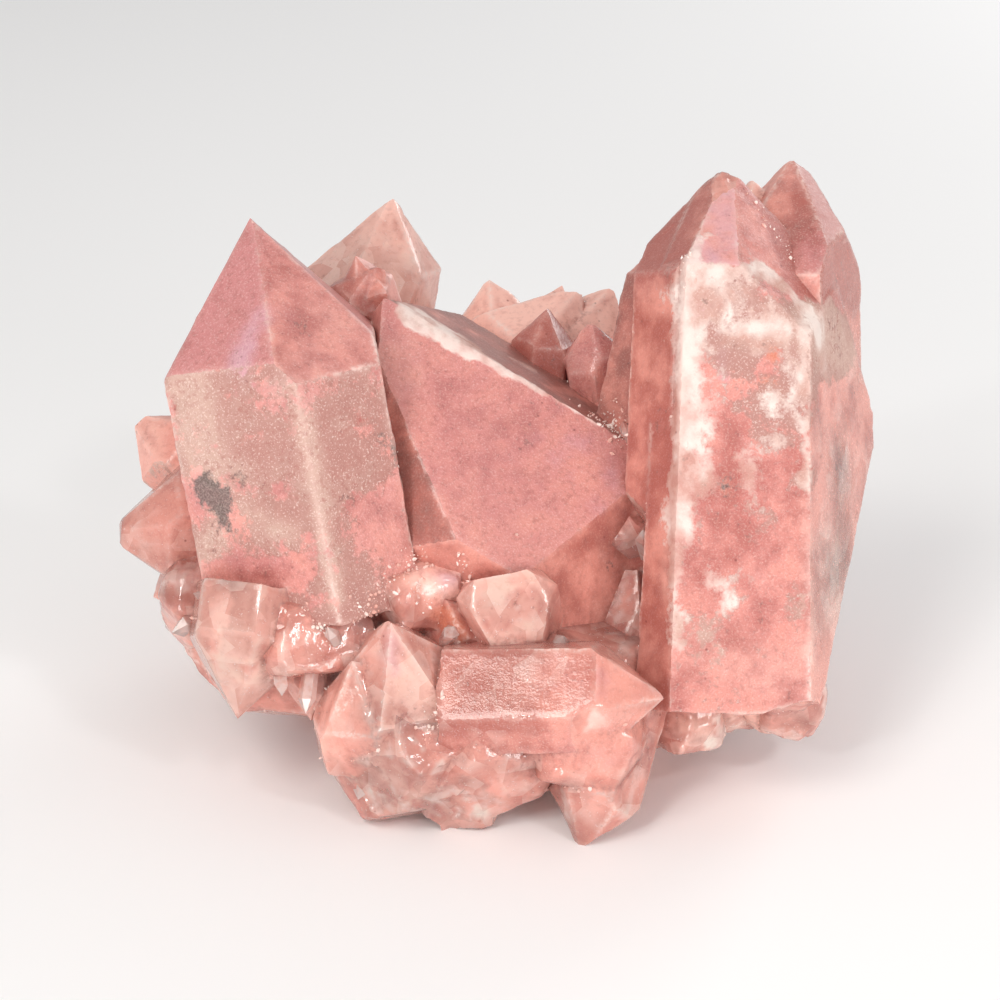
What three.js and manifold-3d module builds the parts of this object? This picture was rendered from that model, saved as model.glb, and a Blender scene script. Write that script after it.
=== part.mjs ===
// A cluster of pink quartz points grown together on a broken root of massive quartz.
// Millimetres, +Z up. The cluster rests on the flat broken underside of its root, in the plane z = 0.
import * as THREE from "three";
import { ConvexGeometry } from "three/addons/geometries/ConvexGeometry.js";
import { mergeVertices } from "three/addons/utils/BufferGeometryUtils.js";
import Module from "manifold-3d";

const wasm = await Module();
wasm.setup();

// Quartz has six prism faces round its long axis and six end faces that close the point.
// Angles are in degrees.
const FACE_COUNT = 6;
const FACE_STEP = 360 / FACE_COUNT;
const END_FACE_ANGLE = 51.8; // between the long axis and the normal of an end face

// The points are laid out on the show side, a plane that leans back from upright.
// In that plane x is right, y is up and z is out towards a person who looks at the cluster.
const LEAN_BACK = 25;
const SHOW_CENTRE_HEIGHT = 27; // of the show side's centre, above the rest plane

// How uneven the small points and the broken lumps are, as ranges of a share of their size.
const POINT_SIDES = [0.84, 1.16];
const POINT_DROPS = [0, 0.45];
const LUMP_REACH = [0.78, 1.04];
const LUMP_TURN = [0, 0.9];
const LUMP_TILT = [-0.25, 0.25];

const BALL_DETAIL = 9;
const GROUND_WIDTH = 180;
const GROUND_DEPTH = 60;

// Limits below which two planes count as parallel, two corners as one, and a corner as lying on a plane.
const PARALLEL = 1e-3;
const SAME_CORNER = 1e-2;
const ON_PLANE = 1e-4;

const degrees = THREE.MathUtils.degToRad;
const showToRest = new THREE.Matrix4()
  .makeTranslation(0, 0, SHOW_CENTRE_HEIGHT)
  .multiply(new THREE.Matrix4().makeRotationX(degrees(90 - LEAN_BACK)));

// The unit vector that leans `turn` clockwise from up and `nod` out of the show side.
function direction(turn, nod) {
  const [t, n] = [degrees(turn), degrees(nod)];
  return new THREE.Vector3(Math.sin(t) * Math.cos(n), Math.cos(t) * Math.cos(n), Math.sin(n));
}

// The corners of the convex block behind a set of planes.
// Each is a point where three planes meet and that no other plane cuts off.
function cornersOf(planes) {
  const corners = [];
  const point = new THREE.Vector3();
  const rows = new THREE.Matrix3();
  for (let i = 0; i < planes.length; i++) {
    for (let j = i + 1; j < planes.length; j++) {
      for (let k = j + 1; k < planes.length; k++) {
        const [a, b, c] = [planes[i], planes[j], planes[k]];
        rows.set(...a.normal.toArray(), ...b.normal.toArray(), ...c.normal.toArray());
        if (Math.abs(rows.determinant()) < PARALLEL) continue;
        point.set(a.at, b.at, c.at).applyMatrix3(rows.clone().invert());
        if (planes.some((p) => p.normal.dot(point) > p.at + ON_PLANE)) continue;
        if (corners.some((known) => known.distanceTo(point) < SAME_CORNER)) continue;
        corners.push(point.clone());
      }
    }
  }
  return corners;
}

function solidOf(geometry) {
  geometry.deleteAttribute("normal");
  geometry.deleteAttribute("uv");
  const merged = mergeVertices(geometry, ON_PLANE);
  return new wasm.Manifold(
    new wasm.Mesh({
      numProp: 3,
      vertProperties: new Float32Array(merged.attributes.position.array),
      triVerts: new Uint32Array(merged.index.array),
    }),
  );
}

const block = (planes, placed) => solidOf(new ConvexGeometry(cornersOf(planes)).applyMatrix4(placed));

// Uneven numbers that are the same on every run: the result gives one between two ends each time.
function dice(seed) {
  let state = (seed * 2654435761) >>> 0;
  return ([low, high]) => {
    state = (state + 0x6d2b79f5) >>> 0;
    let t = Math.imul(state ^ (state >>> 15), 1 | state);
    t = (t + Math.imul(t ^ (t >>> 7), 61 | t)) ^ t;
    const share = ((t ^ (t >>> 14)) >>> 0) / 4294967296;
    return low + (high - low) * share;
  };
}

// One quartz point. `tip` is where its end faces would meet, and turn and nod aim its long axis.
// `spin` turns the first prism face away from facing straight out.
// `taper` leans the prism faces inwards.
// `sides` are the distances of the six prism faces from the axis.
// `drops` say how far below the tip each end face crosses the axis, and `chips` are broken corners.
function crystal({ tip, turn, nod, spin, length, sides, drops, taper = 0.8, chips = [] }) {
  const axis = direction(turn, nod);
  const out = new THREE.Vector3(0, 0, 1).addScaledVector(axis, -axis.z).normalize();
  const across = new THREE.Vector3().crossVectors(axis, out);
  const point = new THREE.Vector3(...tip);
  const faces = [];
  const add = (normal, through) => faces.push({ normal, at: normal.dot(through) });
  const blend = (first, second, angle) =>
    first.clone().multiplyScalar(Math.cos(angle)).addScaledVector(second, Math.sin(angle));
  for (let k = 0; k < FACE_COUNT; k++) {
    const outward = blend(out, across, degrees(spin + FACE_STEP * k));
    add(blend(outward, axis, degrees(taper)), point.clone().addScaledVector(outward, sides[k]));
    add(blend(axis, outward, degrees(END_FACE_ANGLE)), point.clone().addScaledVector(axis, -drops[k]));
  }
  add(axis.clone().negate(), point.clone().addScaledVector(axis, -length));
  for (const chip of chips) add(direction(chip.turn, chip.nod), new THREE.Vector3(...chip.at));
  return block(faces, showToRest);
}

// A smaller point whose unevenness comes from its seed.
function smallPoint({ radius, seed, ...aim }) {
  const roll = dice(seed);
  const sides = Array.from({ length: FACE_COUNT }, () => radius * roll(POINT_SIDES));
  const drops = Array.from({ length: FACE_COUNT }, () => radius * roll(POINT_DROPS));
  return crystal({ sides, drops, ...aim });
}

// A lump of broken quartz: planes that graze an ellipsoid, in directions spread evenly and then disturbed.
function chunk({ at, size, seed, faces = 16, placed = showToRest }) {
  const roll = dice(seed);
  const golden = Math.PI * (3 - Math.sqrt(5));
  const centre = new THREE.Vector3(...at);
  const half = new THREE.Vector3(...size);
  const planes = Array.from({ length: faces }, (_, k) => {
    const height = 1 - (2 * (k + 0.5)) / faces;
    const around = golden * k + roll(LUMP_TURN);
    const ring = Math.sqrt(1 - height * height);
    const normal = new THREE.Vector3(
      ring * Math.cos(around),
      ring * Math.sin(around),
      height + roll(LUMP_TILT),
    ).normalize();
    const reach = normal.clone().multiply(half).length() * roll(LUMP_REACH);
    return { normal, at: normal.dot(centre) + reach };
  });
  return block(planes, placed);
}

// The large points. The tall one on the right is four individuals grown side by side.
const leftPoint = crystal({
  tip: [-26.8, 30, 8], turn: -9.7, nod: 9.5, spin: -27.8, length: 42, taper: 0.2,
  sides: [10.7, 13.7, 11.3, 13, 12, 10.2], drops: [1.5, -0.1, 0, 1, 0, 2.5],
});
const BREAK_RIGHT = { turn: 116, nod: -15, at: [37.5, -7.5, 5] };
const tallFront = crystal({
  tip: [24.3, 36.5, 2], turn: 1.3, nod: 0, spin: 3, length: 58, taper: 2,
  sides: [9.6, 10.4, 17.6, 9, 3.2, 9.6], drops: [0, 0.5, 3, 1, 1, 0],
  chips: [
    { turn: -12, nod: 38, at: [23.3, 33.2, 4] },
    { turn: 46, nod: 42, at: [28.1, 20.2, 11.6] },
    BREAK_RIGHT,
  ],
});
const tallSide = crystal({
  tip: [24.1, 36.1, 2.1], turn: 1.3, nod: 0, spin: 3, length: 48, taper: 1,
  sides: [8.8, -1, 8, 8, 7.2, 9.9], drops: [0, 0, 0, 1, 0, 0],
  chips: [
    { turn: -12, nod: 38, at: [23.3, 32.8, 4] },
    { turn: -127, nod: 4, at: [14.2, -1, 4] },
  ],
});
const tallBack = crystal({
  tip: [31.6, 37.4, -3], turn: 1, nod: 2, spin: -13, length: 52, taper: 0.4,
  sides: [10.8, 12, 7.1, 10, 9, 9], drops: [0, 0.4, 0, 2, 0, 0],
  chips: [
    { turn: 62, nod: 4, at: [36.3, 29.2, -2] },
    { turn: 89, nod: 27, at: [35, 10, 4.2] },
    BREAK_RIGHT,
  ],
});
const tallLeft = crystal({
  tip: [18.4, 28.4, -4], turn: 11, nod: -4, spin: 12, length: 40, taper: 0.6,
  sides: [5, 6, 6, 6, 3.6, 3.6], drops: [0, 0, 0, 1, 0.4, 0.2],
});
const middlePoint = crystal({
  tip: [-14.5, 22.1, 4], turn: -23.2, nod: 25.6, spin: 31.1, length: 44, taper: 0.5,
  sides: [20.6, 19, 13, 12, 12, 17.6], drops: [0.6, -0.5, -6, -4, 4, -1.1],
  chips: [{ turn: -16, nod: -12, at: [-10.1, 21.9, 4] }],
});
const paleBack = crystal({
  tip: [-12.2, 34.7, -16], turn: 10, nod: 14, spin: 14, length: 34, taper: 0.6,
  sides: [9, 6.2, 6, 9, 11, 12], drops: [0, 0, 0, 1, 1, 0],
});

// Two points of the front foot with a shape of their own: one ends in a ridge, one lies on its side.
const ridgePoint = crystal({
  tip: [-0.2, -5.3, 16.4], turn: -11, nod: 48, spin: 0, length: 18,
  sides: [4.4, 4.6, 4.4, 4.4, 4.4, 4.2], drops: [3.2, 0, 0.4, 3.2, 0, 0],
});
const lyingPoint = crystal({
  tip: [16.6, -19.6, 15.6], turn: 88, nod: 12, spin: -24, length: 22.6,
  sides: [4.5, 5.2, 4.6, 4.6, 4.8, 5.4], drops: [0.6, 0.4, 0, 0, 0, 0],
});

// The middle-sized and small points, from the back of the cluster to its front.
const smallPoints = [
  // behind the large points, pale and standing higher than their neighbours
  { tip: [-15.6, 26.6, 0], turn: -16, nod: 30, spin: 10, length: 12, radius: 3.0, seed: 12 },
  { tip: [-12.4, 25.8, 0], turn: 30, nod: 26, spin: 25, length: 12, radius: 3.2, seed: 13 },
  { tip: [7.4, 27.2, -17], turn: 14, nod: 8, spin: 16, length: 36, radius: 9.6, seed: 14 },
  { tip: [-0.6, 26.8, -21], turn: -4, nod: 10, spin: 30, length: 34, radius: 7.2, seed: 15 },
  { tip: [10.6, 25.6, -15], turn: 34, nod: 10, spin: 20, length: 30, radius: 7.4, seed: 18 },
  { tip: [5.3, 22.2, -8], turn: 6, nod: 16, spin: 8, length: 20, radius: 3.2, seed: 16 },
  { tip: [9.6, 20.2, -6], turn: -10, nod: 18, spin: 30, length: 20, radius: 3.4, seed: 17 },
  { tip: [13, 24.9, -17], turn: 28, nod: 8, spin: 12, length: 28, radius: 5.4, seed: 19 },
  { tip: [26.9, 35.6, -2.4], turn: 2, nod: 4, spin: 10, length: 14, radius: 3.5, seed: 20 },
  // on the left flank
  { tip: [-39.8, 9.4, -5], turn: -50, nod: 5, spin: 12, length: 20, radius: 4.4, seed: 21 },
  { tip: [-43, -3.4, 3], turn: -94, nod: 14, spin: 30, length: 26, radius: 6, seed: 22,
    chips: [{ turn: -83, nod: 12, at: [-39.9, -3, 3] }] },
  { tip: [-38.2, -11.6, -2], turn: -118, nod: 5, spin: 0, length: 24, radius: 4.6, seed: 23 },
  { tip: [-27.0, -23.4, 10], turn: -172, nod: 8, spin: 18, length: 14.6, radius: 5.6, seed: 24 },
  { tip: [-19.4, -23.4, 9], turn: -176, nod: 8, spin: 0, length: 12, radius: 2.4, seed: 25 },
  // along the front foot
  { tip: [-11, -11.2, 17], turn: -6, nod: 42, spin: 12, length: 16, radius: 5.8, seed: 31 },
  { tip: [-15.2, -15.0, 15], turn: -10, nod: 34, spin: 40, length: 13, radius: 4.2, seed: 32 },
  { tip: [-5.6, -9.6, 12], turn: -20, nod: 50, spin: 0, length: 14, radius: 3.2, seed: 34 },
  { tip: [-4.6, -4.6, 10], turn: -30, nod: 64, spin: 5, length: 16, radius: 4.2, seed: 35 },
  { tip: [14.8, -5.4, 6], turn: 16, nod: 34, spin: 20, length: 26, radius: 7.0, seed: 36 },
  { tip: [8.1, -36.6, 11], turn: 196, nod: 10, spin: 10, length: 18, radius: 3.9, seed: 38 },
  { tip: [28.2, -25.8, 4], turn: 172, nod: 6, spin: 20, length: 16, radius: 2.8, seed: 39 },
  { tip: [35.4, -15.6, -4], turn: 104, nod: -6, spin: 0, length: 16, radius: 3.0, seed: 40 },
].map(smallPoint);

// Points on the far side, which lean away from the show side.
const farPoints = [
  { tip: [-26, 18, -22], turn: -38, nod: -22, spin: 10, length: 36, radius: 7.4, seed: 61 },
  { tip: [20, 24, -20], turn: 20, nod: -16, spin: 35, length: 42, radius: 6.6, seed: 62 },
  { tip: [2, 19, -34], turn: 6, nod: -34, spin: 0, length: 36, radius: 8.2, seed: 63 },
  { tip: [-14, 5, -36], turn: -30, nod: -50, spin: 22, length: 32, radius: 5.6, seed: 64 },
  { tip: [24, 4, -30], turn: 52, nod: -38, spin: 12, length: 32, radius: 6.4, seed: 65 },
  { tip: [10, 0, -38], turn: 20, nod: -62, spin: 30, length: 30, radius: 4.8, seed: 66 },
  { tip: [-31, -4, -22], turn: -80, nod: -30, spin: 8, length: 30, radius: 5.2, seed: 67 },
  { tip: [32, -6, -18], turn: 84, nod: -24, spin: 26, length: 28, radius: 5.4, seed: 68 },
  { tip: [-22, -14, -26], turn: -120, nod: -48, spin: 14, length: 26, radius: 4.4, seed: 69 },
  { tip: [20, -14, -24], turn: 112, nod: -46, spin: 4, length: 26, radius: 4.2, seed: 70 },
].map(smallPoint);

// Massive quartz that carries the points. Lumps and shell-shaped breaks show along the front foot.
const upright = new THREE.Matrix4();
const rootLumps = [
  { at: [-9.8, -23.2, 8], size: [7.2, 9.6, 8], seed: 51 },
  { at: [-2, -24.4, 8], size: [8.6, 8, 7], seed: 52 },
  { at: [5, -21.6, 8], size: [8, 8, 8], seed: 53 },
  { at: [8.8, -23.8, 11.6], size: [6.9, 5.6, 6.4], seed: 79, faces: 30 },
  { at: [8, -18.6, 0], size: [14, 9, 12], seed: 54 },
  { at: [23, -17, 1], size: [8, 8, 9], seed: 55 },
  { at: [29.6, -20.4, 2], size: [4.4, 4, 6], seed: 59 },
  { at: [19.6, -22.6, 5], size: [4, 3.6, 5], seed: 60 },
  { at: [-18, -10, -2], size: [13, 10, 10], seed: 56 },
  { at: [-31, -10.4, 3], size: [4.4, 5.2, 5], seed: 71 },
  { at: [-25, -15.4, 1], size: [6.4, 6.4, 8], seed: 75 },
  { at: [-19.6, -13.4, 9], size: [7, 5.4, 6], seed: 72 },
  { at: [-9.4, -9, 7], size: [7, 4.6, 5], seed: 73 },
  { at: [0, -6, -8], size: [26, 15, 16], seed: 57, faces: 22 },
  { at: [-2, 7, 8], size: [24, 17, 14], seed: 58, faces: 24, placed: upright },
  { at: [-1, 12, 20], size: [27, 17, 15], seed: 74, faces: 26, placed: upright },
  { at: [-21.5, -6.4, 14.5], size: [10, 9, 9], seed: 76, faces: 22, placed: upright },
  { at: [-13, 21, 15], size: [12, 9, 12], seed: 77, faces: 26, placed: upright },
  { at: [15, 20, 14], size: [12, 9, 10], seed: 78, faces: 26, placed: upright },
].map(chunk);

// Shell-shaped breaks are shallow bites of large balls.
// `at` lies on the broken surface, and turn and nod point out of it.
const breaks = [
  { at: [9.6, -24.6, 17.2], turn: 160, nod: 60, depth: 0.8, radius: 20 },
  { at: [-2.4, -29.8, 12.8], turn: 186, nod: 40, depth: 0.6, radius: 18 },
  { at: [-12.9, -27, 13.6], turn: 210, nod: 46, depth: 0.6, radius: 18 },
  { at: [28, -24, 6.4], turn: 158, nod: 34, depth: 0.5, radius: 14 },
  { at: [-27, -19, -8], turn: 226, nod: -22, depth: 0.8, radius: 14 },
  { at: [16, -22, -20], turn: 150, nod: -52, depth: 1.2, radius: 16 },
].map(({ at, turn, nod, depth, radius }) => {
  const centre = new THREE.Vector3(...at).addScaledVector(direction(turn, nod), radius - depth);
  const ball = new THREE.IcosahedronGeometry(radius, BALL_DETAIL).translate(...centre.toArray());
  return solidOf(ball.applyMatrix4(showToRest));
});

const solids = [
  leftPoint, tallFront, tallSide, tallBack, tallLeft, middlePoint, paleBack, ridgePoint, lyingPoint,
  ...smallPoints, ...farPoints, ...rootLumps,
];
const joined = solids.reduce((sum, solid) => sum.add(solid));
const broken = breaks.reduce((rest, ball) => rest.subtract(ball), joined);

// The root is broken off flat where the cluster rests.
const ground = solidOf(
  new THREE.BoxGeometry(GROUND_WIDTH, GROUND_WIDTH, GROUND_DEPTH).translate(0, 0, -GROUND_DEPTH / 2),
);

// Pockets that the points shut in are solid quartz, so only the outer surface is kept.
const surfaces = broken.subtract(ground).decompose();
const cluster = surfaces.reduce((largest, one) => (one.volume() > largest.volume() ? one : largest));

function geometryOf(solid) {
  const mesh = solid.getMesh();
  const position = new Float32Array(mesh.numVert * 3);
  for (let i = 0; i < mesh.numVert; i++) {
    position.set(mesh.vertProperties.subarray(i * mesh.numProp, i * mesh.numProp + 3), i * 3);
  }
  return new THREE.BufferGeometry()
    .setAttribute("position", new THREE.BufferAttribute(position, 3))
    .setIndex(new THREE.BufferAttribute(new Uint32Array(mesh.triVerts), 1))
    .toNonIndexed();
}

const pinkQuartz = new THREE.MeshStandardMaterial({ color: 0xd98f88, roughness: 0.35, metalness: 0 });
const quartz = new THREE.Mesh(geometryOf(cluster), pinkQuartz);
quartz.name = "quartz_cluster";

const part = new THREE.Group();
part.add(quartz);
export default part;
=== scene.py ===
# %% [markdown]
# # A cluster of pink quartz points
# The real thing is a handful of quartz crystals that grew together on a broken root. Iron-rich dust under
# the surface makes them pink, some faces are frosted, some carry a cream crust, and some are still clear.
# The part's solid has every crystal face in its place as one flat polygon. This lesson makes the surface
# that the eye sees: a fine lattice on every face, growth lines, chips and crusts by formula, then colour.

import bmesh
import bpy
import numpy as np
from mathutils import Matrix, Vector, geometry


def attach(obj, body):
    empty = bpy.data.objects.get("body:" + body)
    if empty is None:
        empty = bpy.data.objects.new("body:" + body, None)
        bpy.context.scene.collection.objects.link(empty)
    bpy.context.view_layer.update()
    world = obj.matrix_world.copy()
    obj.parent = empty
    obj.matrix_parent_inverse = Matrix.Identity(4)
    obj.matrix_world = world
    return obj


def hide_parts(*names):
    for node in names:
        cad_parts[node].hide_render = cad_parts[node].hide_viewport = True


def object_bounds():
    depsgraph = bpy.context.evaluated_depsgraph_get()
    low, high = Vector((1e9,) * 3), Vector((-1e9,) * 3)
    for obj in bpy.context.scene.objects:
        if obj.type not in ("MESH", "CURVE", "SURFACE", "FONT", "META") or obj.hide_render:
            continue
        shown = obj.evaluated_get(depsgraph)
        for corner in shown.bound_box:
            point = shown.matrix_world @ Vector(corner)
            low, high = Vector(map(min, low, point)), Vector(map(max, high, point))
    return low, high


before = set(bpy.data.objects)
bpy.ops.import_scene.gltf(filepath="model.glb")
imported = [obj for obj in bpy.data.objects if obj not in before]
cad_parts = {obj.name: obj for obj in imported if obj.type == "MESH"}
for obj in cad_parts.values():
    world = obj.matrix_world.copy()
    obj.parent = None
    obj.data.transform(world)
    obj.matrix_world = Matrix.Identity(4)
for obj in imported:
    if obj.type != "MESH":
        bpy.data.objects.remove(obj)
cad_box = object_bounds()
MM = 0.001
print("box of the solid, mm:", [[round(c / MM, 1) for c in corner] for corner in cad_box])

# %% [markdown]
# ## Where things are
# A person looks at the cluster a little from above, so the places of crystals and marks are given on a
# "show side" that leans back by 25 degrees: a to the right, b up along it and w out towards the eye.
# A collector measures crystals in millimetres, so metres come in only when a mesh is written.

# %% The show side
LEAN_BACK = np.radians(25.0)
SHOW_CENTRE = np.array([0.0, 0.0, 27.0])
SHOW_AXES = np.array(
    [
        [1.0, 0.0, 0.0],
        [0.0, np.sin(LEAN_BACK), np.cos(LEAN_BACK)],
        [0.0, -np.cos(LEAN_BACK), np.sin(LEAN_BACK)],
    ]
)


def on_show_side(points):
    """Turns rows of (a, b, w) into x, y, z: the centre plus a, b and w steps along the show side's axes."""
    return SHOW_CENTRE + np.asarray(points, float) @ SHOW_AXES


def aimed(turn, nod):
    """The direction that leans `turn` degrees clockwise from up and `nod` degrees out of the show side."""
    t, n = np.radians(turn), np.radians(nod)
    return np.stack([np.sin(t) * np.cos(n), np.cos(t) * np.cos(n), np.sin(n)], -1) @ SHOW_AXES


print("up on the show side:", aimed(0.0, 0.0).round(3))

# %% [markdown]
# ## The points, one row each
# A mineral dealer would tick off the crystals one by one, and so does this table: where the tip is, how the
# axis lies, how the six faces are turned, how long and how wide the crystal is, and what finish it has.
# The finish is the share of each look: `rose` is a frosted mauve pink, `pale` a milky apricot, `deep` the
# brick pink of thick crystal, `crust` a cream coat on the long faces and `clear` glass. With a table, the
# same formulas run over all crystals at once.

# %% The table of points
#  name: tip (a, b, w), turn, nod, spin, length, half width, finish
POINTS = {
    "left": ((-26.8, 30, 8), -9.7, 9.5, -27.8, 42, 14, dict(rose=0.75, crust=0.8, deep=0.1)),
    "tall front": ((24.3, 36.5, 2), 1.3, 0, 3, 58, 15, dict(crust=0.9, deep=0.15)),
    "tall side": ((24.1, 36.1, 2.1), 1.3, 0, 3, 48, 10, dict(deep=0.45)),
    "tall back": ((31.6, 37.4, -3), 1, 2, -13, 52, 12, dict(deep=0.35, crust=0.15)),
    "tall left": ((18.4, 28.4, -4), 11, -4, 12, 40, 7, dict(deep=0.8)),
    "middle": ((-14.5, 22.1, 4), -23.2, 25.6, 31.1, 44, 22, dict(rose=0.4, deep=0.25)),
    "pale back": ((-12.2, 34.7, -16), 10, 14, 14, 34, 12, dict(pale=1.2, clear=0.3)),
    "shoulder 1": ((-15.6, 26.6, 0), -16, 30, 10, 12, 4, dict(deep=0.5, clear=0.2)),
    "shoulder 2": ((-12.4, 25.8, 0), 30, 26, 25, 12, 4, dict(deep=0.7)),
    "gap 1": ((7.4, 27.2, -17), 14, 8, 16, 36, 10, dict(pale=1, clear=0.2)),
    "gap 2": ((-0.6, 26.8, -21), -4, 10, 30, 34, 8, dict(pale=1, clear=0.2)),
    "gap 3": ((10.6, 25.6, -15), 34, 10, 20, 30, 8, dict(pale=1.2, clear=0.15)),
    "gap 4": ((5.3, 22.2, -8), 6, 16, 8, 20, 4, dict(deep=0.9)),
    "gap 5": ((9.6, 20.2, -6), -10, 18, 30, 20, 4, dict(rose=0.5)),
    "flank 1": ((-39.8, 9.4, -5), -50, 5, 12, 20, 5, dict(pale=0.5, crust=0.3)),
    "flank 2": ((-43, -3.4, 3), -94, 14, 30, 26, 7, dict(deep=0.5, clear=0.25)),
    "flank 3": ((-38.2, -11.6, -2), -118, 5, 0, 24, 5, dict(clear=0.4, pale=0.3)),
    "clear foot": ((-27, -23.4, 10), -172, 8, 18, 14.6, 6, dict(clear=0.62, pale=0.7)),
    "clear small": ((-19.4, -23.4, 9), -176, 8, 0, 12, 3, dict(clear=0.5, pale=0.6)),
    "front 1": ((-11, -11.2, 17), -6, 42, 12, 16, 6, dict(clear=0.4, pale=0.5)),
    "front 2": ((-15.2, -15, 15), -10, 34, 40, 13, 5, dict(clear=0.4, pale=0.5)),
    "nose 1": ((-0.2, -5.3, 16.4), -11, 48, 0, 18, 6, dict(clear=0.4, pale=0.5)),
    "nose 2": ((-5.6, -9.6, 12), -20, 50, 0, 14, 4, dict(deep=0.8, clear=0.4)),
    "nose 3": ((-4.6, -4.6, 10), -30, 64, 5, 16, 5, dict(rose=0.3)),
    "between": ((14.8, -5.4, 6), 16, 34, 20, 26, 8, dict(deep=0.6, clear=0.4)),
    "lying": ((16.6, -19.6, 15.6), 88, 12, -24, 23, 6, dict(rose=0.3, deep=0.2, clear=0.5)),
    "drop": ((8.1, -36.6, 11), 196, 10, 10, 18, 5, dict(deep=0.5, clear=0.45)),
    "right foot 1": ((28.2, -25.8, 4), 172, 6, 20, 16, 4, dict(pale=1.3)),
    "right foot 2": ((35.4, -15.6, -4), 104, -6, 0, 16, 4, dict(deep=0.7)),
    "gap 6": ((13, 24.9, -17), 28, 8, 12, 28, 6, dict(pale=1.2, clear=0.15)),
    "tall notch": ((26.9, 35.6, -2.4), 2, 4, 10, 14, 4, dict(deep=0.15, pale=0.6)),
    "far 1": ((-26, 18, -22), -38, -22, 10, 36, 9, dict(rose=0.5, crust=0.6)),
    "far 2": ((20, 24, -20), 20, -16, 35, 42, 8, dict(deep=0.3, crust=0.5)),
    "far 3": ((2, 19, -34), 6, -34, 0, 36, 10, dict(rose=0.6, crust=0.35)),
    "far 4": ((-14, 5, -36), -30, -50, 22, 32, 7, dict(clear=0.35)),
    "far 5": ((24, 4, -30), 52, -38, 12, 32, 8, dict(deep=0.4, clear=0.2)),
    "far 6": ((10, 0, -38), 20, -62, 30, 30, 6, dict(pale=0.5, clear=0.3)),
    "far 7": ((-31, -4, -22), -80, -30, 8, 30, 6, dict(crust=0.5)),
    "far 8": ((32, -6, -18), 84, -24, 26, 28, 6, dict(deep=0.5)),
    "far 9": ((-22, -14, -26), -120, -48, 14, 26, 5, dict(clear=0.4)),
    "far 10": ((20, -14, -24), 112, -46, 4, 26, 5, dict(pale=0.4)),
}
MASSIVE = dict(pale=0.25, deep=0.1, clear=0.5)
# lilac is a mauve tint; on some end faces it also stands in for a painted sheen.
LOOKS = ("rose", "pale", "deep", "crust", "clear", "lilac_and_sheen", "smoke", "white", "gloss", "grey", "orange")
CRUST, GLOSS = LOOKS.index("crust"), LOOKS.index("gloss")


def shares(finish):
    """A finish as numbers, one for each look, with 0 for a look that it doesn't name."""
    return [finish.get(look_name, 0.0) for look_name in LOOKS]


names = list(POINTS)
rows = list(POINTS.values())
tips = on_show_side([r[0] for r in rows])
axes = aimed(*np.array([[r[1], r[2]] for r in rows], float).T)
spins = np.radians([r[3] for r in rows])
lengths = np.array([r[4] for r in rows], float)
widths = np.array([r[5] for r in rows], float)
finishes = np.array([shares(r[6]) for r in rows] + [shares(MASSIVE)])
print(len(names), "points, the longest", lengths.max(), "mm")

# %% [markdown]
# ## The normals that quartz allows
# Quartz has six long prism faces round its axis and six end faces whose normals lean 51.8 degrees from it.
# Those twelve directions tell, later on, which crystal a polygon of the solid belongs to, without anybody
# marking it by hand.

# %% Twelve normals for each point
END_FACE_ANGLE = np.radians(51.8)
TAPER = np.radians(0.8)
SIX_TURNS = np.radians(60.0) * np.arange(6)


def unit(vectors):
    """Vectors divided by their lengths."""
    return vectors / np.linalg.norm(vectors, axis=-1, keepdims=True)


def outwards(axis, first, turns):
    """Directions across each axis, turned away from `first`: cos(turn) * first + sin(turn) * across."""
    across = np.cross(axis, first)
    return np.cos(turns)[..., None] * first[:, None] + np.sin(turns)[..., None] * across[:, None]


def quartz_normals(axis, spin):
    """Twelve rows for each crystal: `outward` turns round the axis in steps of 60 degrees, a prism normal
    leans from it by the taper, and an end-face normal is the axis leaned outward by 51.8 degrees."""
    first = unit(SHOW_AXES[2] - (axis @ SHOW_AXES[2])[:, None] * axis)
    outward = outwards(axis, first, spin[:, None] + SIX_TURNS)
    prism = np.cos(TAPER) * outward + np.sin(TAPER) * axis[:, None]
    end = np.cos(END_FACE_ANGLE) * axis[:, None] + np.sin(END_FACE_ANGLE) * outward
    return np.concatenate([prism, end], axis=1)


normals_of = quartz_normals(axes, spins)
print("normals:", normals_of.shape)

# %% [markdown]
# ## Unevenness without a picture
# Nothing on a mineral is even. Noise from a lattice gives unevenness that is the same on every run: each
# lattice corner gets a random value from its own whole numbers, and values between are blended smoothly.
# A painted texture would slide or repeat, but a formula in x, y and z runs round a crystal's edges unbroken.

# %% Smooth noise in space


def corner_value(i, j, k, seed):
    """A value from -1 to 1 for each lattice corner: its whole numbers are multiplied and mixed bit by bit."""
    mixed = (i * 374761393 + j * 668265263 + k * 2246822519 + seed * 3266489917) & 0xFFFFFFFF
    mixed = ((mixed ^ (mixed >> 13)) * 1274126177) & 0xFFFFFFFF
    mixed = ((mixed ^ (mixed >> 16)) * 2654435761) & 0xFFFFFFFF
    return (mixed >> 8) / 8388607.5 - 1.0


def noise(points, size, seed):
    """Blends the eight corner values round each point with the weight 3t^2 - 2t^3 along each axis."""
    scaled = points / size
    base = np.floor(scaled).astype(np.int64)
    f = scaled - base
    f = f * f * (3.0 - 2.0 * f)
    total = np.zeros(len(points))
    for corner in range(8):
        step = np.array([corner & 1, corner >> 1 & 1, corner >> 2])
        weight = np.prod(np.where(step, f, 1.0 - f), axis=1)
        total += weight * corner_value(*(base + step).T, seed)
    return total


def rough(points, size, seed, layers=4, fade=0.5):
    """Adds noise at the given size, at half of it, a quarter and so on, each layer fainter by `fade`."""
    return sum(fade**n * noise(points, size * 0.5**n, seed + n) for n in range(layers))


def rise(value, low, high):
    """0 below low, 1 above high, and a smooth S curve in between."""
    t = np.clip((value - low) / (high - low), 0.0, 1.0)
    return t * t * (3.0 - 2.0 * t)


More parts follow.
